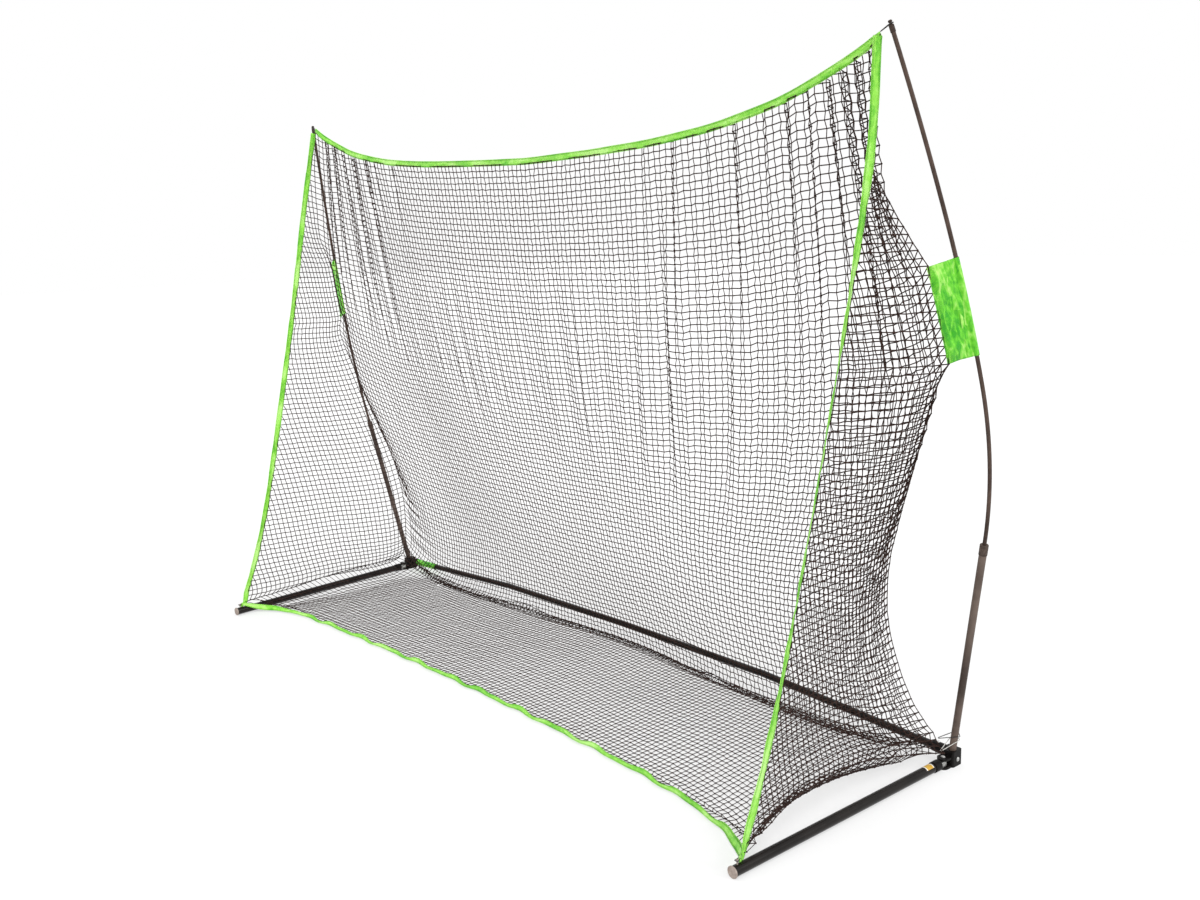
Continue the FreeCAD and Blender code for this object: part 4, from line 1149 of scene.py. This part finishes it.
def side_tab(name, side, materials):
    """The tab: crumpled nylon that runs from the net, round the rod and back onto itself."""
    turns = np.radians(np.linspace(14, 352, 26))
    flap = np.linspace(TAB_WIDTH + 0.004, SLEEVE_RADIUS + 0.005, 22)
    section = [(ahead, 0.0) for ahead in flap]
    section += [(SLEEVE_RADIUS * math.cos(t), SLEEVE_RADIUS * math.sin(t)) for t in turns]
    section += [(ahead, -TAB_FLAP_GAP) for ahead in (SLEEVE_RADIUS + 0.006, 0.021, TAB_TAIL)]
    grid = np.zeros((len(section), TAB_COLUMNS, 3))
    for column in range(TAB_COLUMNS):
        base, toward, aside = tab_frame(side, column / (TAB_COLUMNS - 1))
        for row, (ahead, beside) in enumerate(section):
            grid[row, column] = base + toward * ahead + aside * (beside * side)
    flap_rows = len(flap)
    normal = facing_of(grid)
    creases = 0.008 * rough_field(grid, 0.05, 3) + 0.003 * rough_field(grid, 0.018, 5)
    creases -= 0.014 * np.abs(rough_field(grid, 0.06, 8)) - 0.004
    weight = np.zeros(len(section))
    rows = np.arange(flap_rows)
    weight[:flap_rows] = np.sin(np.pi * (rows + 0.5) / flap_rows) ** 0.7
    grid += (creases * weight[:, None])[..., None] * normal
    piece = sewn_sheet(f"tab_fabric_{name}", grid, TAB_THICKNESS, materials, TAB_SEAMS)
    stand_in(piece, FRAME, f"rod_sleeve_{name}")


STRAP_START = 0.066
STRAP_LENGTH = 0.150
STRAP_RADIUS = 0.0134
STRAP_OVERLAP = 0.0006
STRAP_THICKNESS = 0.0009
STRAP_SEAMS = (0.06, 0.94)
STRAP_CREASE = 0.0012
RAIL_HUB_END = Vector((-HALF_SPAN, HUB_LINE, 0.036))
RAIL_FIRST_JOINT = Vector((-0.750, HUB_LINE + 0.042, 0.058))


def rail_strap(materials):
    """The green fabric sleeve wound round the rail beside the left hub."""
    along = (RAIL_FIRST_JOINT - RAIL_HUB_END).normalized()
    up = Vector((0, 0, 1))
    aside = along.cross(up).normalized()
    up = aside.cross(along)
    turns = np.linspace(0, 2 * math.pi - 0.12, 40)
    columns = np.linspace(0, STRAP_LENGTH, 50)
    grid = np.zeros((len(turns), len(columns), 3))
    for r, turn in enumerate(turns):
        out = aside * math.cos(turn) + up * math.sin(turn)
        for c, distance in enumerate(columns):
            radius = STRAP_RADIUS + STRAP_OVERLAP * turn / math.pi / 2
            grid[r, c] = RAIL_HUB_END + along * (STRAP_START + distance) + out * radius
    creases = np.maximum(0, rough_field(grid * (0.5, 1, 1), 0.016, 12)) * STRAP_CREASE
    hub, rail = np.array(RAIL_HUB_END), np.array(along)
    centre = hub + (grid - hub) @ rail[:, None] * rail
    grid += creases[..., None] * unit(grid - centre)
    piece = sewn_sheet("rail_strap_fabric", grid, STRAP_THICKNESS, materials, STRAP_SEAMS)
    stand_in(piece, FRAME, "rail_strap")


# ---------------- ties

TIE_DIAMETER = 0.0025
# Half the gap between the two ends of a tie at its knot, and the step where it crosses over.
KNOT_GAP = 0.0018
CROSSING_STEP = 0.0004
# Where each tie starts, on the right, and its heights on the posts.
TOP_KNOT = (1.4875, -0.368, 2.110)
FRONT_KNOT = (FOOT_TIP[0], FOOT_TIP[1] + 0.002, FOOT_TIP[2])
REAR_KNOT = (1.506, -0.044, 0.092)
ELASTIC_HOOK = (1.529, -0.0655, 0.0655)
LEG_PEG_HEIGHT = 0.013
REAR_TIE_HEIGHT = 0.100
ELASTIC_HEIGHT = 0.082
TIP_LOOP = 0.0062
PEG_LOOP = 0.0052
UPRIGHT_LOOP = 0.0130


def tie_cord(name, body, knot, centre, post, loop_radius, materials, finish="tie_cord"):
    """An elastic cord from a knot at the net's corner, round a post and back to the knot."""
    post = post.normalized()
    run = centre - knot
    away = (run - post * run.dot(post)).normalized()
    across = away.cross(post)
    far = centre + away * loop_radius
    middle = knot.lerp(centre, 0.5)
    spread = (KNOT_GAP + loop_radius) / 2
    route = [
        knot + across * KNOT_GAP,
        middle + across * spread,
        centre + across * loop_radius,
        far + across * loop_radius,
        far + post * CROSSING_STEP,
        far - across * loop_radius,
        centre - across * loop_radius,
        middle - across * spread,
        knot - across * KNOT_GAP,
    ]
    curve = bpy.data.curves.new(name, "CURVE")
    curve.dimensions = "3D"
    spline = curve.splines.new("NURBS")
    spline.points.add(len(route) - 1)
    for point, place in zip(spline.points, route):
        point.co = (*place, 1.0)
    spline.order_u = 3
    spline.use_endpoint_u = True
    spline.resolution_u = 8
    curve.bevel_depth = TIE_DIAMETER / 2
    curve.bevel_resolution = 3
    curve.use_fill_caps = True
    curve.materials.append(materials[finish])
    piece = bpy.data.objects.new(f"{name}_cord", curve)
    bpy.context.scene.collection.objects.link(piece)
    stand_in(piece, body, name)


def knot_place(place, side):
    """A place given on the right and from under the hub line, in the row frame."""
    return Vector(placed(mirrored([place], side))[0])


def post_axis(turned):
    return (turned.to_3x3() @ Vector((0, 0, 1))).normalized()


def add_ties(materials):
    for name, side in SIDES.items():
        tip, foot = rod_frames(side)[-1], upright_frame(side)
        neck = tip.translation + post_axis(tip) * TIP_NECK_ABOVE_ROD
        top, front, rear = (knot_place(knot, side) for knot in (TOP_KNOT, FRONT_KNOT, REAR_KNOT))
        tie_cord(f"top_tie_{name}", FRAME, top, neck, post_axis(tip), TIP_LOOP, materials)
        low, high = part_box(f"net_peg_{name}")
        peg = Vector(((low.x + high.x) / 2, (low.y + high.y) / 2, low.z + LEG_PEG_HEIGHT))
        up = Vector((0, 0, 1))
        tie_cord(f"front_tie_{name}", f"{name}_leg", front, peg, up, PEG_LOOP, materials)
        post = post_axis(foot)
        grip = foot.translation + post * REAR_TIE_HEIGHT
        tie_cord(f"rear_tie_{name}", FRAME, rear, grip, post, UPRIGHT_LOOP, materials)
    foot = upright_frame(1)
    post = post_axis(foot)
    grip = foot.translation + post * ELASTIC_HEIGHT
    hook = knot_place(ELASTIC_HOOK, 1)
    elastic = "rear_elastic_right"
    tie_cord(elastic, FRAME, hook, grip, post, UPRIGHT_LOOP, materials, "white_elastic")


# ---------------- assemble the net


def fold_with_leg(piece):
    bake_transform(piece)


def add_net(materials):
    points, back, sides, floor = hang_net()
    middle = BACK_COLUMNS // 2
    halves = {"left": slice(0, middle + 1), "right": slice(middle, None)}
    shared = {"left": None, "right": "column"}
    backs = {
        name: net_piece(
            f"netting_back_{name}", points, back[:, half], Y_AXIS, materials, shared[name]
        )
        for name, half in halves.items()
    }
    floors = {
        name: net_piece(
            f"netting_floor_{name}", points, floor[:, half], Z_AXIS, materials, "row",
            FLOOR_CORD_RADIUS,
        )
        for name, half in halves.items()
    }
    top = top_hem(materials)
    stand_in(top, FRAME, "hem_top")
    for name, side in SIDES.items():
        panel = net_piece(f"netting_side_{name}", points, sides[name], X_AXIS, materials, "column")
        edge = side_hem(name, side, materials)
        foot = foot_hem(name, side, materials)
        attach(backs[name], FRAME)
        for piece in (panel, edge, foot, floors[name]):
            fold_with_leg(piece)
        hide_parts(f"net_side_{name}")
        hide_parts(f"hem_{name}")
    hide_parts("net_back")
    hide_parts("net_floor")
    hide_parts("hem_bottom")


# ---------------- floor and light


def add_stage():
    made = Finish()
    patches = made.cloudy(made.point(), 0.8, 2.0)
    dark, light = (0.42, 0.42, 0.42, 1), (0.44, 0.44, 0.44, 1)
    material = made.done(
        Base_Color=made.tinted(patches, (0.3, dark), (0.7, light)),
        Roughness=0.9,
        Specular_IOR_Level=0.0,
        Emission_Color=(1, 1, 1, 1),
        Emission_Strength=0.5,
    )
    size = 40
    corners = [(-size, -size, 0), (size, -size, 0), (size, size, 0), (-size, size, 0)]
    material.name = "studio_floor"
    floor = add_mesh("studio_floor", corners, [(0, 1, 2, 3)], [material])


def add_sun(name, toward, strength, softness):
    """A broad distant light that shines from the given direction."""
    data = bpy.data.lights.new(name, "SUN")
    data.energy = strength
    data.angle = math.radians(softness)
    light = bpy.data.objects.new(name, data)
    light.matrix_world = Vector(toward).to_track_quat("Z", "Y").to_matrix().to_4x4()
    bpy.context.scene.collection.objects.link(light)


def add_lighting():
    world = bpy.data.worlds.new("studio")
    world.use_nodes = True
    background = world.node_tree.nodes["Background"]
    background.inputs["Color"].default_value = (1, 1, 1, 1)
    background.inputs["Strength"].default_value = 1.0
    bpy.context.scene.world = world
    bpy.context.scene.view_settings.view_transform = "Standard"
    add_sun("key", (1.6, -1.8, 2.4), 1.3, 18)
    add_sun("side", (2.4, 1.2, 1.6), 0.6, 12)


# ---------------- build

add_camera()
finishes = make_materials()
add_ties(finishes)
finish_cad_nodes(finishes)
add_net(finishes)
for tab_name, tab_side in SIDES.items():
    side_tab(tab_name, tab_side, finishes)
rail_strap(finishes)
add_stage()
add_lighting()
